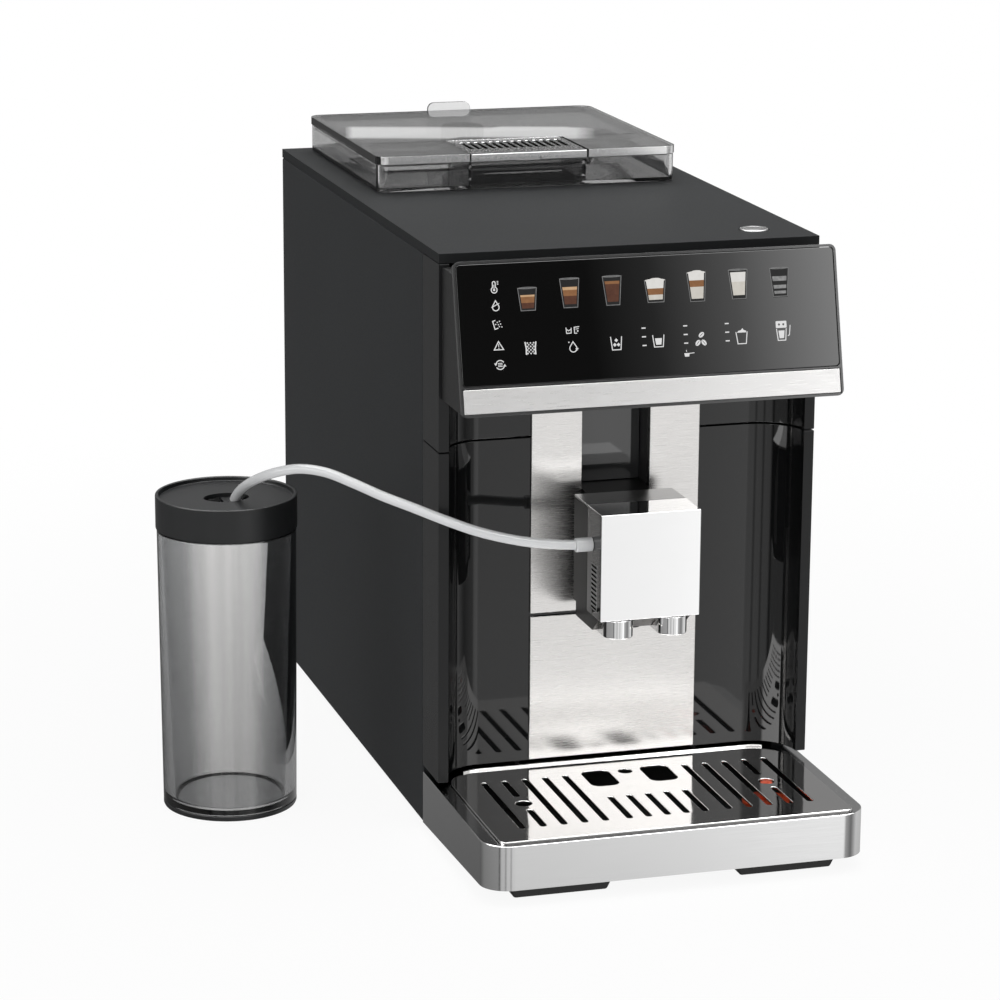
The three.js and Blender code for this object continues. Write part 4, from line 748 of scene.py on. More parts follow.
def hose_cuff():
    bottom = CUFF_LENGTH - NIPPLE_OUT + HEAD_HALF
    bore = NIPPLE_RADIUS + GAP / 2
    profile = filleted([(0, 0), (CUFF_RADIUS, 0), (CUFF_RADIUS, CUFF_LENGTH), (bore, CUFF_LENGTH),
                        (bore, bottom - GAP), (0, bottom - GAP)], EDGE)
    mesh = moved(turned(profile, SMALL_SIDES), LAID)
    shifted(mesh, -HEAD_HALF - GAP / 2 - CUFF_LENGTH, *NIPPLE_PLACE)
    piece("hose_cuff", mesh, hose_skin, "dispenser_head")


hose()
hose_cuff()


# Nodes that only have their edges rounded: material, width of the rounding and its steps
SOFT_PIECES = (
    ("side_panel_left", housing, 0.9), ("side_panel_right", housing, 0.9),
    ("top_cover", cover_black, 1.1, SOFT_TURNS), ("rear_panel", housing, 0.5),
    ("panel_housing", dark, WIDE_EDGE), ("base_plate", dark, SMALL_EDGE),
    ("grounds_front", plate_steel), ("grounds_container", dark, 0.5),
    ("panel_bezel", bezel_black, 0.45, SOFT_TURNS), ("head_body", head_black, SMALL_EDGE),
    ("tray_basin", dark, THIN_EDGE), ("tray_foot_left", dark, 1.2, SOFT_TURNS),
    ("tray_foot_right", dark, 1.2, SOFT_TURNS), ("hopper_bin", smoke, SMALL_EDGE),
    ("grind_knob", dark, THIN_EDGE), ("water_tank", clear, WIDE_EDGE),
)


# Housing

def frame_plan():
    """Strips at the sides and between them the niche wall, flat behind and curving forward."""
    corner = BODY_HALF - STRIP_WIDTH - NICHE_WALL
    outer = NICHE_WALL + FRAME_WALL
    lip = math.asin(STRIP_LIP / outer) / (math.pi / 2)
    right = [
        *arc((corner, 0), NICHE_WALL, 1, 0, 2 * ARC_STEPS),
        (BODY_HALF, 0), (BODY_HALF, FRAME_DEPTH), (BODY_HALF - FRAME_WALL, FRAME_DEPTH),
        (BODY_HALF - FRAME_WALL, STRIP_LIP),
        *arc((corner, 0), outer, lip, 1, 2 * ARC_STEPS),
    ]
    return right + [(-x, y) for x, y in reversed(right)]


def front_frame(name, low, high, gates):
    mesh = carved(plate([frame_plan()], low, high, FRAME_EDGE, SOFT_TURNS), *gates)
    thing = piece(name, mesh, gloss)
    painted(thing, frame_black, lambda middle, normal: abs(middle.x) > BODY_HALF - STRIP_WIDTH)


def front_frames():
    back = NICHE_WALL + FRAME_WALL + OVERRUN
    front = NICHE_WALL - OVERRUN
    slot_low = box(-CHANNEL_HALF, CHANNEL_HALF, front, back, CHANNEL_BOTTOM, FRAME_SEAM + OVERRUN)
    gate = box(-DRAWER_GATE, DRAWER_GATE, front, back, FRAME_BOTTOM - OVERRUN, DRAWER_TOP + GAP)
    slot_high = box(-CHANNEL_HALF, CHANNEL_HALF, front, back, FRAME_SEAM - OVERRUN, CHANNEL_TOP)
    front_frame("front_frame_lower", FRAME_BOTTOM, FRAME_SEAM - GAP, [gate, slot_low])
    front_frame("front_frame_upper", FRAME_SEAM + GAP, SHELL_TOP, [slot_high])


def channel():
    """The liner, and the slide that rises with the head through a slit in the liner's roof."""
    half = CHANNEL_HALF - GAP
    slit = box(-half - GAP, half + GAP, SLIDE_FRONT - GAP, SLIDE_BACK + GAP, CHANNEL_TOP - OVERRUN,
               CHANNEL_TOP + FRAME_WALL + OVERRUN)
    piece("channel_liner", carved(softened("channel_liner"), slit), dark)
    outline = round_box(-half, half, *SLIDE_HEIGHTS, SLIDE_CORNER, CORNER_STEPS)
    mesh = moved(plate([outline], 0, SLIDE_BACK - SLIDE_FRONT, SLIDE_EDGE), AS_Y)
    piece("channel_slide", shifted(mesh, 0, SLIDE_BACK), slide_grey, "dispenser_head")


def steel_plates():
    for side, sign in SIDES:
        a, b = sorted((sign * PLATE_INNER, sign * PLATE_OUTER))
        outline = [(a, PLATE_BOTTOM), (b, PLATE_BOTTOM), (b, CHANNEL_TOP), (a, CHANNEL_TOP)]
        mesh = moved(plate([outline], -PLATE_THICKNESS, 0, THIN_EDGE), AS_Y)
        piece("steel_plate_" + side, shifted(mesh, 0, PLATE_FRONT), plate_steel)


for soft in SOFT_PIECES:
    piece(soft[0], softened(soft[0], *soft[2:]), soft[1])
front_frames()
channel()
steel_plates()


# Control panel

def panel():
    inner = PANEL_HALF - BEZEL_BORDER - GAP
    trim_top = BEZEL_BORDER + TRIM_HEIGHT
    window = round_box(-inner, inner, trim_top + BEZEL_DIVIDER + GAP, PANEL_HEIGHT - BEZEL_BORDER - GAP,
                       BEZEL_CORNER - BEZEL_BORDER)
    mesh = plate([window], -BEZEL_THICKNESS, -GLASS_SET, THIN_EDGE)
    piece("panel_glass", moved(mesh, ON_PANEL), glass)
    strip = round_box(-inner, inner, BEZEL_BORDER + GAP, trim_top - GAP, TRIM_CORNER, CORNER_STEPS)
    mesh = plate([strip], -BEZEL_THICKNESS, -GLASS_SET, TRIM_EDGE)
    piece("panel_trim", moved(mesh, ON_PANEL), trim_steel)


# Symbols behind the control glass, in millimetres across and up its face

PEN = 0.5
FINE_PEN = 0.4
THIN_PEN = 0.35
SHARPEST = 0.45  # limits how far a sharp corner of a line reaches out
LAYER = 0.03  # one printed layer over the next
BEAN_SIZE = (1.75, 1.15)
BEAN_SLIT = (1.5, 0.16)
DROP_TIP = 2.7
DROP_MIDDLE = (0, -0.7)
FILL_FOOT = 1.1


def stroke(points, width=PEN, closed=False):
    """Outlines of a line of even width along the points."""
    count = len(points)
    left = []
    right = []
    for i, point in enumerate(points):
        here = Vector(point)
        before = here - Vector(points[i - 1])
        after = Vector(points[(i + 1) % count]) - here
        if not closed and i == 0:
            before = after
        if not closed and i == count - 1:
            after = before
        along = (before.normalized() + after.normalized()).normalized()
        reach = width / 2 / max(along.dot(after.normalized()), SHARPEST)
        across = Vector((-along.y, along.x)) * reach
        left.append(tuple(here + across))
        right.append(tuple(here - across))
    if closed:
        return [left, right[::-1]]
    return [left + right[::-1]]


def dot(centre, radius):
    return [circle(centre, radius, 12)]


def ellipse(centre, size, tilt=0.0, steps=24):
    across = Vector((math.cos(tilt), math.sin(tilt))) * size[0]
    up = Vector((-math.sin(tilt), math.cos(tilt))) * size[1]
    return [tuple(Vector(centre) + across * a + up * b) for a, b in circle((0, 0), 1, steps)]


def square(centre, half):
    x, y = centre
    return [[(x - half, y), (x, y - half), (x + half, y), (x, y + half)]]


def beaker(top, foot, height, fill=0.0):
    """An open glass in line, and what fills it up to a share of its height."""
    parts = [stroke([(-top, height / 2), (-foot, -height / 2), (foot, -height / 2), (top, height / 2)])]
    if fill:
        low, high = FILL_FOOT - height / 2, -height / 2 + height * fill
        inner = foot - 1
        outer = inner + (top - foot) * fill
        parts.append([[(-inner, low), (inner, low), (outer, high), (-outer, high)]])
    return parts


def bean(centre, tilt):
    return [ellipse(centre, BEAN_SIZE, tilt), ellipse(centre, BEAN_SLIT, tilt)]


def drop(radius):
    return stroke([(0, DROP_TIP), *arc(DROP_MIDDLE, radius, 0.35, -2.35, 18)], PEN, True)


THERMOMETER = [
    stroke([*arc((0, -1.5), 1.55, 1.34, 4.66, 16), *arc((0, 2.1), 0.75, 0, 2, 8)], PEN, True),
    dot((0, -1.5), 0.6), stroke([(0, -1.4), (0, 1.2)], FINE_PEN),
    *[stroke([(1.6, v), (2.4, v)], THIN_PEN) for v in (1.4, 2.1, 2.8)],
]
EMPTY_TANK = [drop(1.75), stroke([(-2.2, -0.7), (1.9, 1.3)], 0.45)]
FULL_BIN = [
    stroke([(-0.8, 2.4), (-2.2, 1.9), (-1.2, -2.2), (0.6, -1.6)]),
    *[dot(place, 0.33) for place in ((0.2, 1.3), (1.4, 1.8), (-0.7, 0.3), (0.7, 0.1), (1.9, 0.4),
                                     (2.5, -1.1), (1.2, -0.9))],
]
WARNING = [stroke([(0, 2.3), (2.5, -1.9), (-2.5, -1.9)], PEN, True),
           stroke([(0, 1), (0, -0.5)], FINE_PEN), dot((0, -1.15), 0.28)]
RINSING = [
    *[stroke(arc((0, 0), 2.3, start, start + 1.4, 12)) for start in (0.35, 2.35)],
    *[[[(-3.2 * turn, 0.9 * turn), (-1.5 * turn, 0.9 * turn), (-2.4 * turn, -0.4 * turn)]]
      for turn in (1, -1)],
    *[stroke([(-1.2, v), (1.2, v)], FINE_PEN) for v in (-0.8, 0, 0.8)],
]
DESCALING = [
    *[stroke([(2.9 * sign, 3.3), (2.4 * sign, 0), (2.5 * sign, -3.3)], 0.7) for _, sign in SIDES],
    *[square((u, 2.7 - 0.9 * row), 0.5) for row in range(7)
      for u in ((-1, 1) if row % 2 else (-1.7, 0, 1.7))],
]
SPARKLE = [[(2, 0), (1.7, -0.7), (1, -1), (1.7, -1.3), (2, -2), (2.3, -1.3), (3, -1), (2.3, -0.7)]]
CLEANING = [drop(1.9), SPARKLE, dot((-2.2, 2.5), 0.35)]
SMALL_GLASS = [stroke([(-1.3, 1.5), (-1.1, -1.5), (1.3, -1.4), (1.5, 1.3)], 0.45),
               stroke([(-0.9, 0.5), (0, -0.2), (1.3, 0.5)], FINE_PEN)]
SMALL_SPLASH = [stroke([(1.5, 1.7), (-1.2, 1.5), (-1.1, -1.6), (0.2, -1.6)], 0.45),
                stroke([(-0.6, 0.5), (1.2, 0.7)], THIN_PEN), dot((0.6, -0.5), 0.45)]
COLD = [*beaker(3, 2.3, 6.8), *[square(place, 1) for place in ((0, 1.5), (-0.9, -0.8), (1.1, -0.8))]]
STEPS = [stroke([(-1.1, v), (1.1, v)], 0.65) for v in (-4.5, 0, 4.5)]
CUP_SIZE = beaker(3.1, 2.4, 6.2, 0.72)
BEANS = [bean((0.5, 2.3), 0.7), bean((-1.6, -1.8), 0.9), bean((1.7, -1.8), -0.9)]
POT = [[[(-2.6, 0.2), (-2.2, -1.6), (0, -1.6), (0.4, 0.2)]], stroke([(0, 0), (3, 0.2)], FINE_PEN),
       stroke([(-1.2, 0.8), (-1.4, 1.9)], 0.3)]
FOAM_SIZE = [*beaker(3.1, 2.3, 6.2),
             [[(-2.5, 2.7), (2.6, 2.7), (2.4, 3.6), (1.2, 4), (0.6, 5), (-0.3, 4), (-1.8, 3.6)]]]
DOUBLE = [
    [round_box(-3, 3, 2.3, 5.9, 0.4, TINY_STEPS), *dot((-1.2, 4.1), 0.6), *dot((1.2, 4.1), 0.6)],
    stroke([(-2.7, 1.9), (-2.1, -4.2), (2.1, -4.2), (2.7, 1.9)]),
    [[(-1.7, 0.9), (-1.2, -3.1), (1.2, -3.1), (1.7, 0.9)]],
    stroke([(3.4, -2), (4.3, -1.6), (5, 3.6)], 0.45),
]
SYMBOLS = (
    (-83.2, 66.1, THERMOMETER), (-82.9, 56.4, EMPTY_TANK), (-82.8, 46.7, FULL_BIN),
    (-82.6, 35.9, WARNING), (-82.4, 26.2, RINSING), (-65.6, 33.9, DESCALING), (-42.8, 33.3, CLEANING),
    (-44.8, 41.9, SMALL_GLASS), (-40.5, 41.9, SMALL_SPLASH), (-19.4, 34, COLD), (-4.2, 36.5, STEPS),
    (3.6, 34, CUP_SIZE), (18.6, 36.5, STEPS), (26.7, 33.6, BEANS), (19.8, 26.6, POT),
    (41.5, 36.5, STEPS), (49.4, 33.2, FOAM_SIZE), (71.6, 34.9, DOUBLE),
)
# Glasses with drinks: middle, foot, top, half widths at foot and top, and what is in them from one
# share of the height to another
DRINKS = (
    (-65.7, 52.9, 64.8, 4.0, 5.2, ((0.12, 0.36, "coffee"), (0.36, 0.62, "brown"), (0.62, 0.7, "crema"))),
    (-42.8, 53.2, 68.5, 3.9, 5.4, ((0.14, 0.42, "coffee"), (0.42, 0.62, "brown"), (0.62, 0.72, "crema"))),
    (-19.8, 53.3, 68.6, 3.7, 5.3, ((0.14, 0.74, "coffee"), (0.74, 0.84, "brown"))),
    (3.5, 53.7, 65.4, 4.5, 5.9, ((0.14, 0.36, "milk"), (0.36, 0.64, "brown"), (0.64, 1.0, "foam"))),
    (26.3, 52.9, 68.3, 4.0, 5.4, ((0.12, 0.52, "milk"), (0.52, 0.74, "brown"), (0.74, 1.0, "foam"))),
    (49.3, 53.1, 68.7, 3.9, 5.4, ((0.15, 0.6, "milk"), (0.6, 0.92, "foam"))),
    (72.2, 53.3, 68.5, 4.0, 5.4, ((0.12, 0.22, "water"), (0.3, 0.42, "water"), (0.56, 0.72, "water"))),
)
DRINK_WALL = 1.0
DRINK_RIM = 0.4
RIM_FOOT = 0.03  # where the glass's drawn line begins, as a share of its height
RIM_INSET = 0.2
RIM_RISE = (0.55, 0.3)  # half heights of the rim's outer and inner line
FOAM_HEAD = (0.8, 0.6)  # half heights of the foam's two mounds
FOAM_PLACE = (0.3, 0.6)  # of the upper mound, from the middle of the rim
FULL = 0.99  # a drink that reaches this share has a head of foam above the rim


def drink_layers(middle, foot, top, foot_half, top_half, layers):
    """Yields the tone, level and outlines of each part of one glass."""
    def edge(share, inset):
        height = foot + (top - foot) * share
        half = foot_half + (top_half - foot_half) * share - inset
        return [(middle - half, height), (middle + half, height)]

    def band(start, end, inset):
        return [*edge(start, inset), *edge(end, inset)[::-1]]

    yield "shade", 1, [band(0, 1, 0)]
    yield "rim", 2, stroke(band(RIM_FOOT, 1, RIM_INSET), THIN_PEN, True)
    inner = top_half - DRINK_RIM
    for start, end, tone in layers:
        yield tone, 3, [band(start, end, DRINK_WALL)]
        if end > FULL:
            upper = (middle + FOAM_PLACE[0], top + FOAM_PLACE[1])
            yield tone, 4, [ellipse((middle, top), (inner, FOAM_HEAD[0]))]
            yield tone, 5, [ellipse(upper, (top_half / 2, FOAM_HEAD[1]))]
    if layers[-1][1] < FULL:
        yield "rim", 4, [ellipse((middle, top), (top_half, RIM_RISE[0])),
                         ellipse((middle, top), (inner, RIM_RISE[1]))]


def panel_symbols():
    gathered = {tone: [] for tone in TONES}

    def printed(tone, level, outlines):
        base = -GLASS_SET + level * LAYER
        gathered[tone].append(plate(outlines, base - LAYER, base, 0))

    for u, v, parts in SYMBOLS:
        for outlines in parts:
            printed("white", 1, [[(u + a, v + b) for a, b in loop] for loop in outlines])
    for drink in DRINKS:
        for tone, level, outlines in drink_layers(*drink):
            printed(tone, level, outlines)
    for tone, meshes in gathered.items():
        mesh = moved(joined(*meshes), ON_PANEL)
        piece("panel_print_" + tone, mesh, glow(tone), "machine")


def power_button():
    section = [(BUTTON_RADIUS - inset, BUTTON_TOP - depth) for inset, depth in BUTTON_SECTION]
    profile = [(0, section[0][1]), *section, (0, BUTTON_TOP)]
    piece("power_button", shifted(turned(profile), *BUTTON_PLACE), satin_steel)


panel()
panel_symbols()
power_button()


# Dispenser head

def spout_plan(side):
    x = side * SPOUT_SPACING / 2
    front = -HEAD_OUT + SPOUT_SET + SPOUT_HALF
    back = front - SPOUT_HALF + SPOUT_DEPTH
    return [(x + SPOUT_HALF, back), (x - SPOUT_HALF, back),
            *arc((x, front), SPOUT_HALF, 2, 4, 2 * ARC_STEPS)]


def head_cover():
    """A bent sheet: front, sides and top, with a grille let into its left side."""
    under = HEAD_TOP - COVER_WALL
    profile = filleted([(HEAD_BACK, under), (HEAD_BACK, HEAD_TOP), (-HEAD_OUT, HEAD_TOP),
                        (-HEAD_OUT, COVER_FOOT), (COVER_BACK, COVER_FOOT), (COVER_BACK, under)], SMALL_EDGE)
    solid = moved(plate([profile], -HEAD_HALF, HEAD_HALF, THIN_EDGE, SOFT_TURNS), AS_X)
    inner = HEAD_HALF - COVER_WALL
    room = box(-inner, inner, -HEAD_OUT + COVER_WALL, COVER_BACK + OVERRUN, COVER_FOOT - OVERRUN, under)
    outer = HEAD_HALF + OVERRUN
    hole = moved(plate([circle(NIPPLE_PLACE, NIPPLE_RADIUS + GAP)], -outer, -inner + OVERRUN, 0), AS_X)
    window = box(-outer, -inner + OVERRUN, *GRILLE)
    cap_groove = box(-outer, outer, CAP_BACK, CAP_BACK + CAP_GROOVE, HEAD_TOP - CAP_GROOVE,
                     HEAD_TOP + OVERRUN)
    strip_grooves = [box(sign * outer, sign * (HEAD_HALF - SIDE_STRIP_GROOVE), SIDE_STRIP_FRONT,
                         SIDE_STRIP_FRONT + SIDE_STRIP_GROOVE, COVER_FOOT - OVERRUN, HEAD_TOP - OVERRUN)
                     for _, sign in SIDES]
    cover = piece("head_cover", carved(solid, room, hole, window, cap_groove, *strip_grooves),
                  head_steel)

    def is_side(middle, normal):
        return abs(normal.x) > FACING and middle.y < CAP_BACK

    painted(cover, satin_steel, lambda middle, normal: middle.y > CAP_BACK)
    painted(cover, chrome, lambda middle, normal: normal.z > FACING and middle.y < CAP_BACK)
    # The sides in front of the strip are near-black metal: a painted dark reflection.
    painted(cover, painted_dark_reflection, is_side)
    # The strip of the sides between that line and the satin part is a lighter grey metal: a painted
    # reflection.
    painted(cover, side_painted_reflection, lambda middle, normal: is_side(middle, normal)
            and middle.y > SIDE_STRIP_FRONT and middle.z < under)


def head_grille():
    y0, y1, z0, z1 = GRILLE
    outline = round_box(y0 + GAP / 2, y1 - GAP / 2, z0 + GAP / 2, z1 - GAP / 2, THIN_EDGE, TINY_STEPS)
    y = (y0 + y1) / 2
    half, radius = VENT_SIZE[0] / 2, VENT_SIZE[1] / 2
    levels = [VENT_LOW + VENT_PITCH * i for i in range(VENTS)]
    slots = [round_box(y - half, y + half, z - radius, z + radius, radius / 2, TINY_STEPS)
             for z in levels]
    mesh = plate([outline, *slots], -HEAD_HALF, -HEAD_HALF + COVER_WALL, GRILLE_EDGE)
    grille = piece("head_grille", moved(mesh, AS_X), grille_steel, "dispenser_head")
    # The faces inside the vents are gloss black: painted shade in the slots.
    painted(grille, gloss, lambda middle, normal: abs(normal.x) < VENT_FACING)


def dispenser_head():
    head_cover()
    head_grille()
    for side, sign in SIDES:
        bore = circle((sign * SPOUT_SPACING / 2, -HEAD_OUT + SPOUT_SET + SPOUT_HALF), SPOUT_BORE)
        mesh = plate([spout_plan(sign), bore], *SPOUT_HEIGHTS, WIDE_EDGE, SOFT_TURNS)
        piece("spout_" + side, mesh, chrome)
    nozzle = turned(filleted(NOZZLE_SECTION, NOZZLE_EDGE), SMALL_SIDES)
    piece("milk_nozzle", shifted(nozzle, 0, NOZZLE_Y), dark)
    section = [(0, NIPPLE_BORE_DEPTH), (NIPPLE_BORE, NIPPLE_BORE_DEPTH), (NIPPLE_BORE, 0),
               (NIPPLE_RADIUS, 0), (NIPPLE_RADIUS, NIPPLE_LENGTH), (0, NIPPLE_LENGTH)]
    nipple = moved(turned(filleted(section, SMALL_EDGE), SMALL_SIDES), LAID)
    piece("hose_nipple", shifted(nipple, -NIPPLE_OUT, *NIPPLE_PLACE), steel)


dispenser_head()


# Drip tray

def tray_plan(inset, back):
    half = BODY_HALF - inset
    radius = TRAY_CORNER - inset
    front = -TRAY_OUT + inset + radius
    return [(-half, back), *arc((-half + radius, front), radius, 2, 3),
            *arc((half - radius, front), radius, 3, 4), (half, back)]


def drip_tray():
    solid = plate([tray_plan(0, TRAY_BACK)], 0, TRAY_RIM, TRAY_EDGE, SOFT_TURNS)
    room = plate([tray_plan(TRAY_SKIN, TRAY_BACK + OVERRUN)], -OVERRUN, TRAY_RIM - FLANGE_THICKNESS, 0)
    window = plate([grate_plan(-GAP)], 0, TRAY_RIM + OVERRUN, 0)
    front, back = -TRAY_OUT - OVERRUN, TRAY_BACK + OVERRUN
    wedge = plate([[(front, -OVERRUN), (back, -OVERRUN), (back, TRAY_REAR_LIFT),
                    (front, TRAY_FRONT_LIFT)]], -BODY_HALF - OVERRUN, BODY_HALF + OVERRUN, 0)
    mesh = carved(solid, room, window, moved(wedge, AS_X))
    band = piece("tray_band", mesh, band_steel)
    # The top of the flange in front of the grate is near-black metal: a painted dark reflection.
    painted(band, painted_dark_reflection,
            lambda middle, normal: normal.z > FLANGE_FACING and middle.y < -GRATE_OUT)


def grate_plan(inset):
    half = GRATE_HALF - inset
    return round_box(-half, half, -GRATE_OUT + inset, GRATE_BACK - inset,
                     max(GRATE_CORNER - inset, LEAST_CORNER), far=GRATE_REAR_CORNER - inset)


def slot_plan(x, back, front):
    radius = SLOT_WIDTH / 2
    return arc((x, -front + radius), radius, 2, 4) + arc((x, -back - radius), radius, 0, 2)


def grate_holes():
    places = [(0, SHORT_SLOT_BACK, SLOT_FRONT)]
    holes = [circle((0, -PINHOLE_OUT), PINHOLE_RADIUS)]
    width, depth = WINDOW_SIZE
    for _, sign in SIDES:
        places += [(sign * i * INNER_SLOT_PITCH, SHORT_SLOT_BACK, SLOT_FRONT) for i in INNER_SLOTS]
        places += [(sign * i * SLOT_PITCH, 0, SLOT_FRONT) for i in OUTER_SLOTS]
        places += [(sign * FLOAT_X, 0, SPLIT_BACK), (sign * FLOAT_X, SPLIT_FRONT, SLOT_FRONT)]
        holes.append(circle((sign * FLOAT_X, -FLOAT_OUT), FLOAT_HOLE))
        x = sign * WINDOW_X
        holes.append(round_box(x - width / 2, x + width / 2, -WINDOW_OUT - depth / 2,
                               -WINDOW_OUT + depth / 2, WINDOW_CORNER, WINDOW_STEPS))
    return holes + [slot_plan(*place) for place in places]


def drip_grate():
    under = GRATE_TOP - GRATE_THICKNESS
    deck = plate([grate_plan(0), *grate_holes()], under, GRATE_TOP, THIN_EDGE)
    wall = [grate_plan(SKIRT_INSET), grate_plan(GRATE_THICKNESS)]
    skirt = plate(wall, GRATE_FOOT, GRATE_TOP - GRATE_THICKNESS / 2, SKIRT_EDGE)
    lip = plate(wall, GRATE_FOOT, GRATE_TOP + LIP_RISE, SMALL_EDGE, BOLD_TURNS)
    half = GRATE_HALF - LIP_INSET
    lip = carved(lip, box(-BODY_HALF, BODY_HALF, -TRAY_OUT, GRATE_BACK - LIP_REACH, 0, BODY_HALF),
                 *[box(sign * half, sign * BODY_HALF, -TRAY_OUT, TRAY_BACK, 0, BODY_HALF)
                   for _, sign in SIDES])
    piece("drip_grate", joined(deck, skirt, lip), mirror_steel)


def tray_float():
    mesh = turned(filleted(FLOAT_SECTION, WIDE_EDGE))
    piece("tray_float", shifted(mesh, FLOAT_X, -FLOAT_OUT), red)


drip_tray()
drip_grate()
tray_float()


# Bean hopper

def flap_mesh():
    half, length = GRIP_SIZE[0] / 2, GRIP_SIZE[1]
    places = [(i - (GRIPS - 1) / 2) * GRIP_PITCH for i in range(GRIPS)]
    grips = [round_box(x - half, x + half, GRIP_FRONT, GRIP_FRONT + length, SMALL_EDGE, TINY_STEPS)
             for x in places]
    outline = round_box(-FLAP_HALF, FLAP_HALF, FLAP_FRONT, FLAP_BACK, WIDE_EDGE, TINY_STEPS)
    leaf = plate([outline, *grips], *LID_HEIGHTS, THIN_EDGE)
    outline = round_box(-FLAP_HALF, FLAP_HALF, FLAP_BACK + GAP, FLAP_BAR_BACK, WIDE_EDGE, TINY_STEPS)
    bar = plate([outline], *LID_HEIGHTS, FLAP_BAR_EDGE, BOLD_TURNS)
    notch = box(-FLAP_NOTCH[0], FLAP_NOTCH[0], FLAP_FRONT - OVERRUN, FLAP_FRONT + OVERRUN,
                LID_HEIGHTS[0] - OVERRUN, LID_HEIGHTS[0] + FLAP_NOTCH[1])
    return joined(carved(leaf, notch), bar)


def hopper():
    def is_front(middle, normal):
        return normal.y < -LID_FRONTAL and middle.z > HOPPER_LID_FOOT

    # Gloss black on the lid's rounded front corners is a painted dark reflection, and on the walls round
    # the flap it is painted shade in the gap.
    def is_painted_dark_on_lid(middle, normal):
        at_corner = (abs(normal.x) > LID_CORNER[0] and normal.y < -LID_CORNER[1]
                     and middle.z > HOPPER_LID_FOOT)
        return at_corner or (abs(normal.z) < UPRIGHT and abs(middle.x) < FLAP_HALF + 2 * OVERRUN)

    lid = piece("hopper_lid", softened("hopper_lid", HOPPER_LID_EDGE), lid_smoke)
    flap = piece("hopper_flap", flap_mesh(), flap_grey)
    painted(lid, gloss, is_painted_dark_on_lid)
    # The flap's upright faces, at its sides and in its grip slots, are gloss black: painted shade in the
    # gaps.
    painted(flap, gloss, lambda middle, normal: abs(normal.z) < UPRIGHT)
    for thing in (lid, flap):
        painted(thing, lid_edge, is_front)


hopper()


# Milk container

def milk_container():
    inner = CUP_BASE_RADIUS - CUP_WALL - RING_WALL
    neck = CUP_BASE_RADIUS - RING_WALL - GAP
    floor = CUP_FOOT + CUP_FLOOR
    outside = filleted([(0, CUP_FOOT), (inner, CUP_FOOT), (neck, CUP_FOOT + CUP_WALL),
                        (neck, RING_HEIGHT + GAP)], CUP_FOOT_BEND)
    inside = filleted([(CUP_BASE_RADIUS, RING_HEIGHT + GAP), (CUP_TOP_RADIUS, CUP_HEIGHT),
                       (CUP_TOP_RADIUS - CUP_WALL, CUP_HEIGHT), (inner - CUP_WALL, floor + CUP_WALL),
                       (inner - CUP_WALL - RING_WALL, floor), (0, floor)], CUP_BEND)
    mesh = shifted(turned(outside + inside), *CUP_PLACE)
    piece("milk_cup", mesh, cup_smoke)
    wall = CUP_BASE_RADIUS - RING_WALL
    ring = [(wall - CUP_WALL, 0), (CUP_BASE_RADIUS - RING_CHAMFER, 0),
            (CUP_BASE_RADIUS - RING_EDGE, RING_EDGE), (CUP_BASE_RADIUS, RING_CHAMFER),
            (CUP_BASE_RADIUS, RING_HEIGHT - RING_EDGE), (CUP_BASE_RADIUS - RING_EDGE, RING_HEIGHT),
            (wall, RING_HEIGHT), (wall, RING_FLOOR), (wall - CUP_WALL, RING_EDGE), (wall - CUP_WALL, 0)]
    piece("cup_ring", shifted(turned(ring), *CUP_PLACE), lid_black)


def cup_lid():
    plug = CUP_TOP_RADIUS - CUP_WALL - LID_PLAY
    shelf = LID_TOP - LID_RECESS
    under = shelf - CUP_WALL
    profile = [(0, under), (plug - CUP_WALL, under), (plug - CUP_WALL, LID_BOTTOM - LID_PLUG),
               (plug, LID_BOTTOM - LID_PLUG), (plug, LID_BOTTOM), (LID_RADIUS, LID_BOTTOM),
               (LID_RADIUS, LID_TOP), (LID_RADIUS - LID_RIM, LID_TOP), (LID_RADIUS - LID_RIM, shelf),
               (0, shelf)]
    well = ellipse((0, 0), WELL_SIZE, steps=FINE_SIDES)
    body = carved(turned(filleted(profile, LID_EDGE)), plate([well], under - OVERRUN, shelf + OVERRUN, 0))
    half = WELL_SIZE[1] + BRIDGE_THICKNESS
    outline = round_box(*BRIDGE, -half, half, BRIDGE_CORNER, CORNER_STEPS)
    bridge = plate([outline], under - BRIDGE_THICKNESS, under + BRIDGE_SUNK, BRIDGE_EDGE)
    port = turned(filleted([(0, under), (PORT_RADIUS, under), (PORT_RADIUS, under + PORT_HEIGHT),
                            (0, under + PORT_HEIGHT)], SMALL_EDGE), SMALL_SIDES)
    mesh = shifted(joined(body, bridge, shifted(port, *PORT_PLACE)), *CUP_PLACE)
    piece("cup_lid", mesh, lid_black)


milk_container()
cup_lid()


# Nodes inside and below keep their solids

def dress_nodes():
    for name, node in nodes.items():
        if node.hide_render:
            continue
        for slot in node.material_slots:
            slot.link = "OBJECT"
            slot.material = SLOT_MATERIALS[SLOT_OF[name]]


dress_nodes()


# Floor, light and background. The studio is white; what metal and gloss mirror of it has bands.

WORLD_DIFFUSE = 0.62
FLOOR_HALF = 4
FLOOR_TOP = -0.0003
FLOOR_DEPTH = 0.02
FLOOR_GLOW = (0.92, 1.0)  # share of plain white, near the object and far from it
FLOOR_FADE = (0.3, 0.9)
# What metal and gloss mirror below the horizon: (degrees right of straight ahead, brightness)
LOW_TURN = (
    (-180, 0.18), (-150, 0.15), (-120, 0.3), (-52, 0.38), (-47, 0.05), (-41, 0.7), (-27, 0.75),
    (-22.5, 0.3), (-18, 0.8), (-6, 0.85), (-1, 0.4), (4, 0.92), (16, 0.9), (18, 0.98), (19.8, 1.0),
    (21.2, 1.35), (30, 1.1), (34, 0.5), (60, 0.2), (90, 0.8), (140, 0.6), (180, 0.18),
)
LOW_LIGHT = 1.4  # the brightest of them at least
LOW_END = (-0.36, -0.325)  # and it fades towards the table, as the height of a direction
LOW_END_LIGHT = 0.78
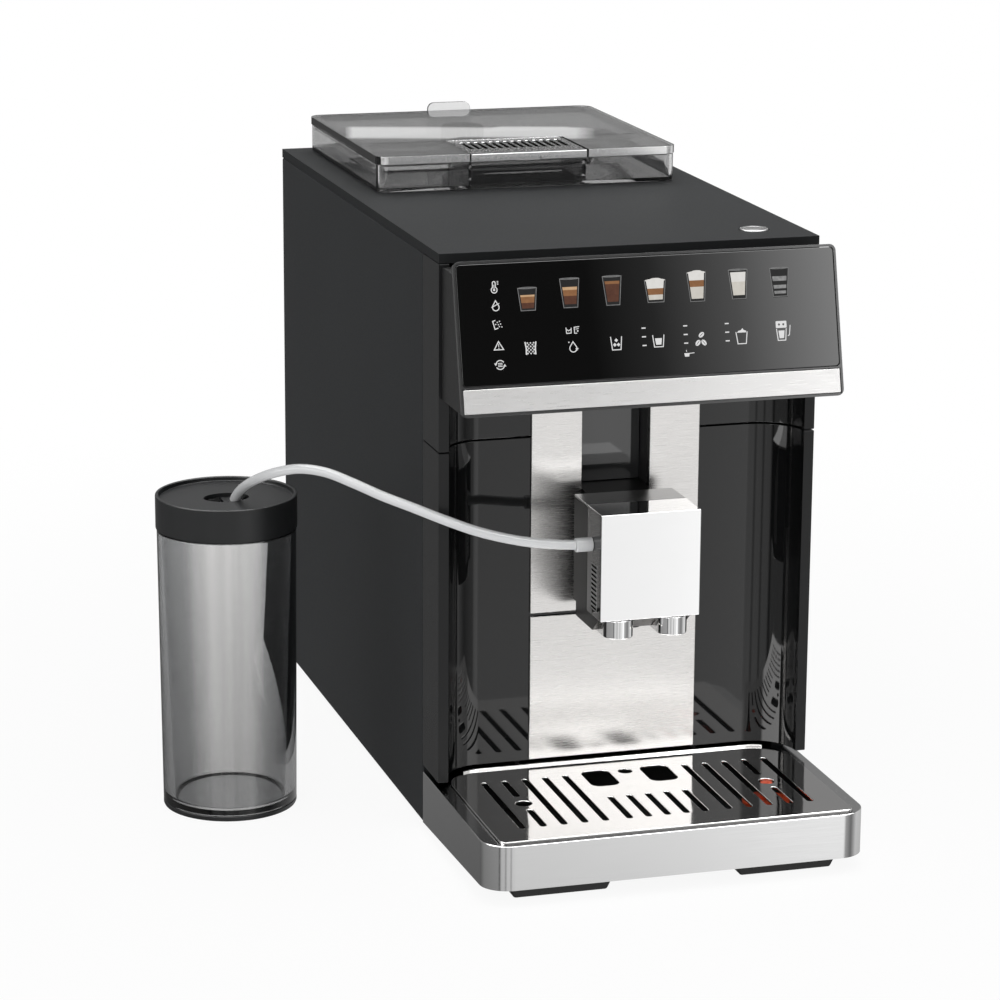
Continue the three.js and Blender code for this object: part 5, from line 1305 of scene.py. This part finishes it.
# And above it
HIGH_TURN = (
    (-180, 0.2), (-110, 0.4), (-92, 4), (-40, 4), (-34, 0.8), (10, 0.9), (16, 1.5), (21, 2.2), (46, 2.2),
    (50, 0.9), (100, 0.9), (140, 0.3), (180, 0.2),
)
HIGH_LIGHT = 4.0
HORIZON = (-0.02, 0.02)  # as the height of a direction
SIDE_TOP = (0.42, 0.5)  # where the side lights end
ABOVE_LIGHT = 0.5
TOP_LIGHT = (0.7, 0.75, 0.93, 0.96)
TOP_BRIGHTNESS = 7.0
# A faint band that the hopper's lid mirrors, by height and by turn
LID_BAND = (0.1483, 0.1489, 0.1515, 0.1521)
LID_BAND_TURN = (0.247, 0.2495, 0.318, 0.3245)
LID_BAND_LIGHT = 0.9


def ramp(tree, factor, stops):
    node = add(tree, "ValToRGB", {"Fac": factor})
    elements = node.color_ramp.elements
    while len(elements) < len(stops):
        elements.new(0.5)
    for element, (place, value) in zip(elements, stops):
        element.position = place
        element.color = grey(value)
    return node.outputs["Color"]


def calc(tree, operation, a, b=0.0):
    return add(tree, "Math", {0: a, 1: b}, operation=operation).outputs[0]


def lights_by_turn(tree, turn, stops, top):
    """A ramp holds no value over 1, so it's drawn as shares of its top and then scaled."""
    place = share_of(tree, turn, (-180.0, 180.0))
    shares = ramp(tree, place, [((angle + 180) / 360, value / top) for angle, value in stops])
    return calc(tree, "MULTIPLY", shares, top)


def between(tree, value, edges):
    """1 where the value lies between the inner two of four edges, 0 beyond the outer two."""
    return calc(tree, "MULTIPLY", share_of(tree, value, edges[:2]), share_of(tree, value, edges[:1:-1]))


def mirrored_studio(tree):
    """Brightness of what metal, gloss and glass mirror, by direction."""
    direction = add(tree, "TexCoord").outputs["Generated"]
    parts = add(tree, "SeparateXYZ", {"Vector": direction})
    x, y, z = (parts.outputs[axis] for axis in "XYZ")
    turn = calc(tree, "DEGREES", calc(tree, "ARCTAN2", x, calc(tree, "MULTIPLY", y, -1.0)))
    low = lights_by_turn(tree, turn, LOW_TURN, LOW_LIGHT)
    low = calc(tree, "MULTIPLY", low, share_of(tree, z, LOW_END, (LOW_END_LIGHT, 1.0)))
    high = lights_by_turn(tree, turn, HIGH_TURN, HIGH_LIGHT)
    high = mixed(tree, share_of(tree, z, SIDE_TOP), high, ABOVE_LIGHT, "FLOAT")
    top = calc(tree, "MULTIPLY", between(tree, z, TOP_LIGHT), TOP_BRIGHTNESS)
    band = calc(tree, "MULTIPLY", between(tree, z, LID_BAND),
                between(tree, calc(tree, "DIVIDE", x, y), LID_BAND_TURN))
    high = calc(tree, "ADD", calc(tree, "ADD", high, top), calc(tree, "MULTIPLY", band, LID_BAND_LIGHT))
    return mixed(tree, share_of(tree, z, HORIZON), low, high, "FLOAT")


def emptied(block):
    """The node tree of a material or world, with nothing in it."""
    block.use_nodes = True
    block.node_tree.nodes.clear()
    return block.node_tree


def shown(tree, kind, shader):
    tree.links.new(shader.outputs[0], add(tree, kind).inputs["Surface"])


def make_world():
    world = bpy.data.worlds.new("studio")
    bpy.context.scene.world = world
    tree = emptied(world)
    path = add(tree, "LightPath").outputs
    plain = calc(tree, "MAXIMUM", path["Is Camera Ray"], path["Is Transmission Ray"])
    glossy = mixed(tree, path["Is Glossy Ray"], WORLD_DIFFUSE, mirrored_studio(tree), "FLOAT")
    strength = mixed(tree, plain, glossy, 1.0, "FLOAT")
    shown(tree, "OutputWorld", add(tree, "Background", {"Color": grey(1), "Strength": strength}))


def stage_piece(name, mesh, material):
    mesh.materials.append(material)
    thing = linked(name, mesh)
    return thing


def make_floor():
    material = bpy.data.materials.new("floor")
    tree = emptied(material)
    place = object_place(tree)
    distance = add(tree, "VectorMath", {0: place}, operation="LENGTH").outputs["Value"]
    share = share_of(tree, distance, FLOOR_FADE, FLOOR_GLOW, interpolation_type="SMOOTHSTEP")
    diffuse = add(tree, "BsdfDiffuse", {"Color": grey(0.9)}).outputs[0]
    white = add(tree, "Emission", {"Color": grey(1), "Strength": 1.0}).outputs[0]
    seen = add(tree, "MixShader", {0: share, 1: diffuse, 2: white}).outputs[0]
    is_glossy = add(tree, "LightPath").outputs["Is Glossy Ray"]
    nothing = add(tree, "BsdfTransparent").outputs[0]
    shown(tree, "OutputMaterial", add(tree, "MixShader", {0: is_glossy, 1: seen, 2: nothing}))
    stage_piece("floor", box(-FLOOR_HALF, FLOOR_HALF, -FLOOR_HALF, FLOOR_HALF,
                             FLOOR_TOP - FLOOR_DEPTH, FLOOR_TOP), material)


# A card in front that only the control glass mirrors: black at its left, light at its right
CARD = ((0.1, 0.5), -0.83, (0.41, 0.55))
CARD_TONES = ((0.0, 0.01), (0.38, 0.01), (0.5, 0.06), (0.66, 0.24), (0.82, 0.6), (1.0, 1.0))
CARD_LIGHT = 4.2


def make_card():
    (left, right), front, heights = CARD
    material = bpy.data.materials.new("card")
    tree = emptied(material)
    place = object_place(tree)
    across = add(tree, "SeparateXYZ", {"Vector": place}).outputs["X"]
    tone = ramp(tree, share_of(tree, across, (left, right)), CARD_TONES)
    shown(tree, "OutputMaterial", add(tree, "Emission", {"Color": tone, "Strength": CARD_LIGHT}))
    card = stage_piece("card", box(left, right, front - FLOOR_DEPTH, front, *heights), material)
    for ray in ("camera", "diffuse", "transmission", "shadow"):
        setattr(card, "visible_" + ray, False)


LAMP_TARGET = (0, 0, 0.15)
# Name, place, side of its square, power
LAMPS = (("top_lamp", (0.3, -0.3, 1.9), 1.6, 8), ("front_lamp", (-1.2, -1.8, 1.2), 1.2, 9))


def make_lamps():
    for name, place, size, power in LAMPS:
        data = bpy.data.lights.new(name, "AREA")
        data.size = size
        data.energy = power
        light = linked(name, data)
        light.location = place
        aim = Vector(LAMP_TARGET) - Vector(place)
        light.rotation_euler = aim.to_track_quat("-Z", "Y").to_euler()
        light.visible_glossy = False
        light.visible_camera = False


make_world()
make_floor()
make_card()
make_lamps()

bpy.context.scene.view_settings.view_transform = "Standard"
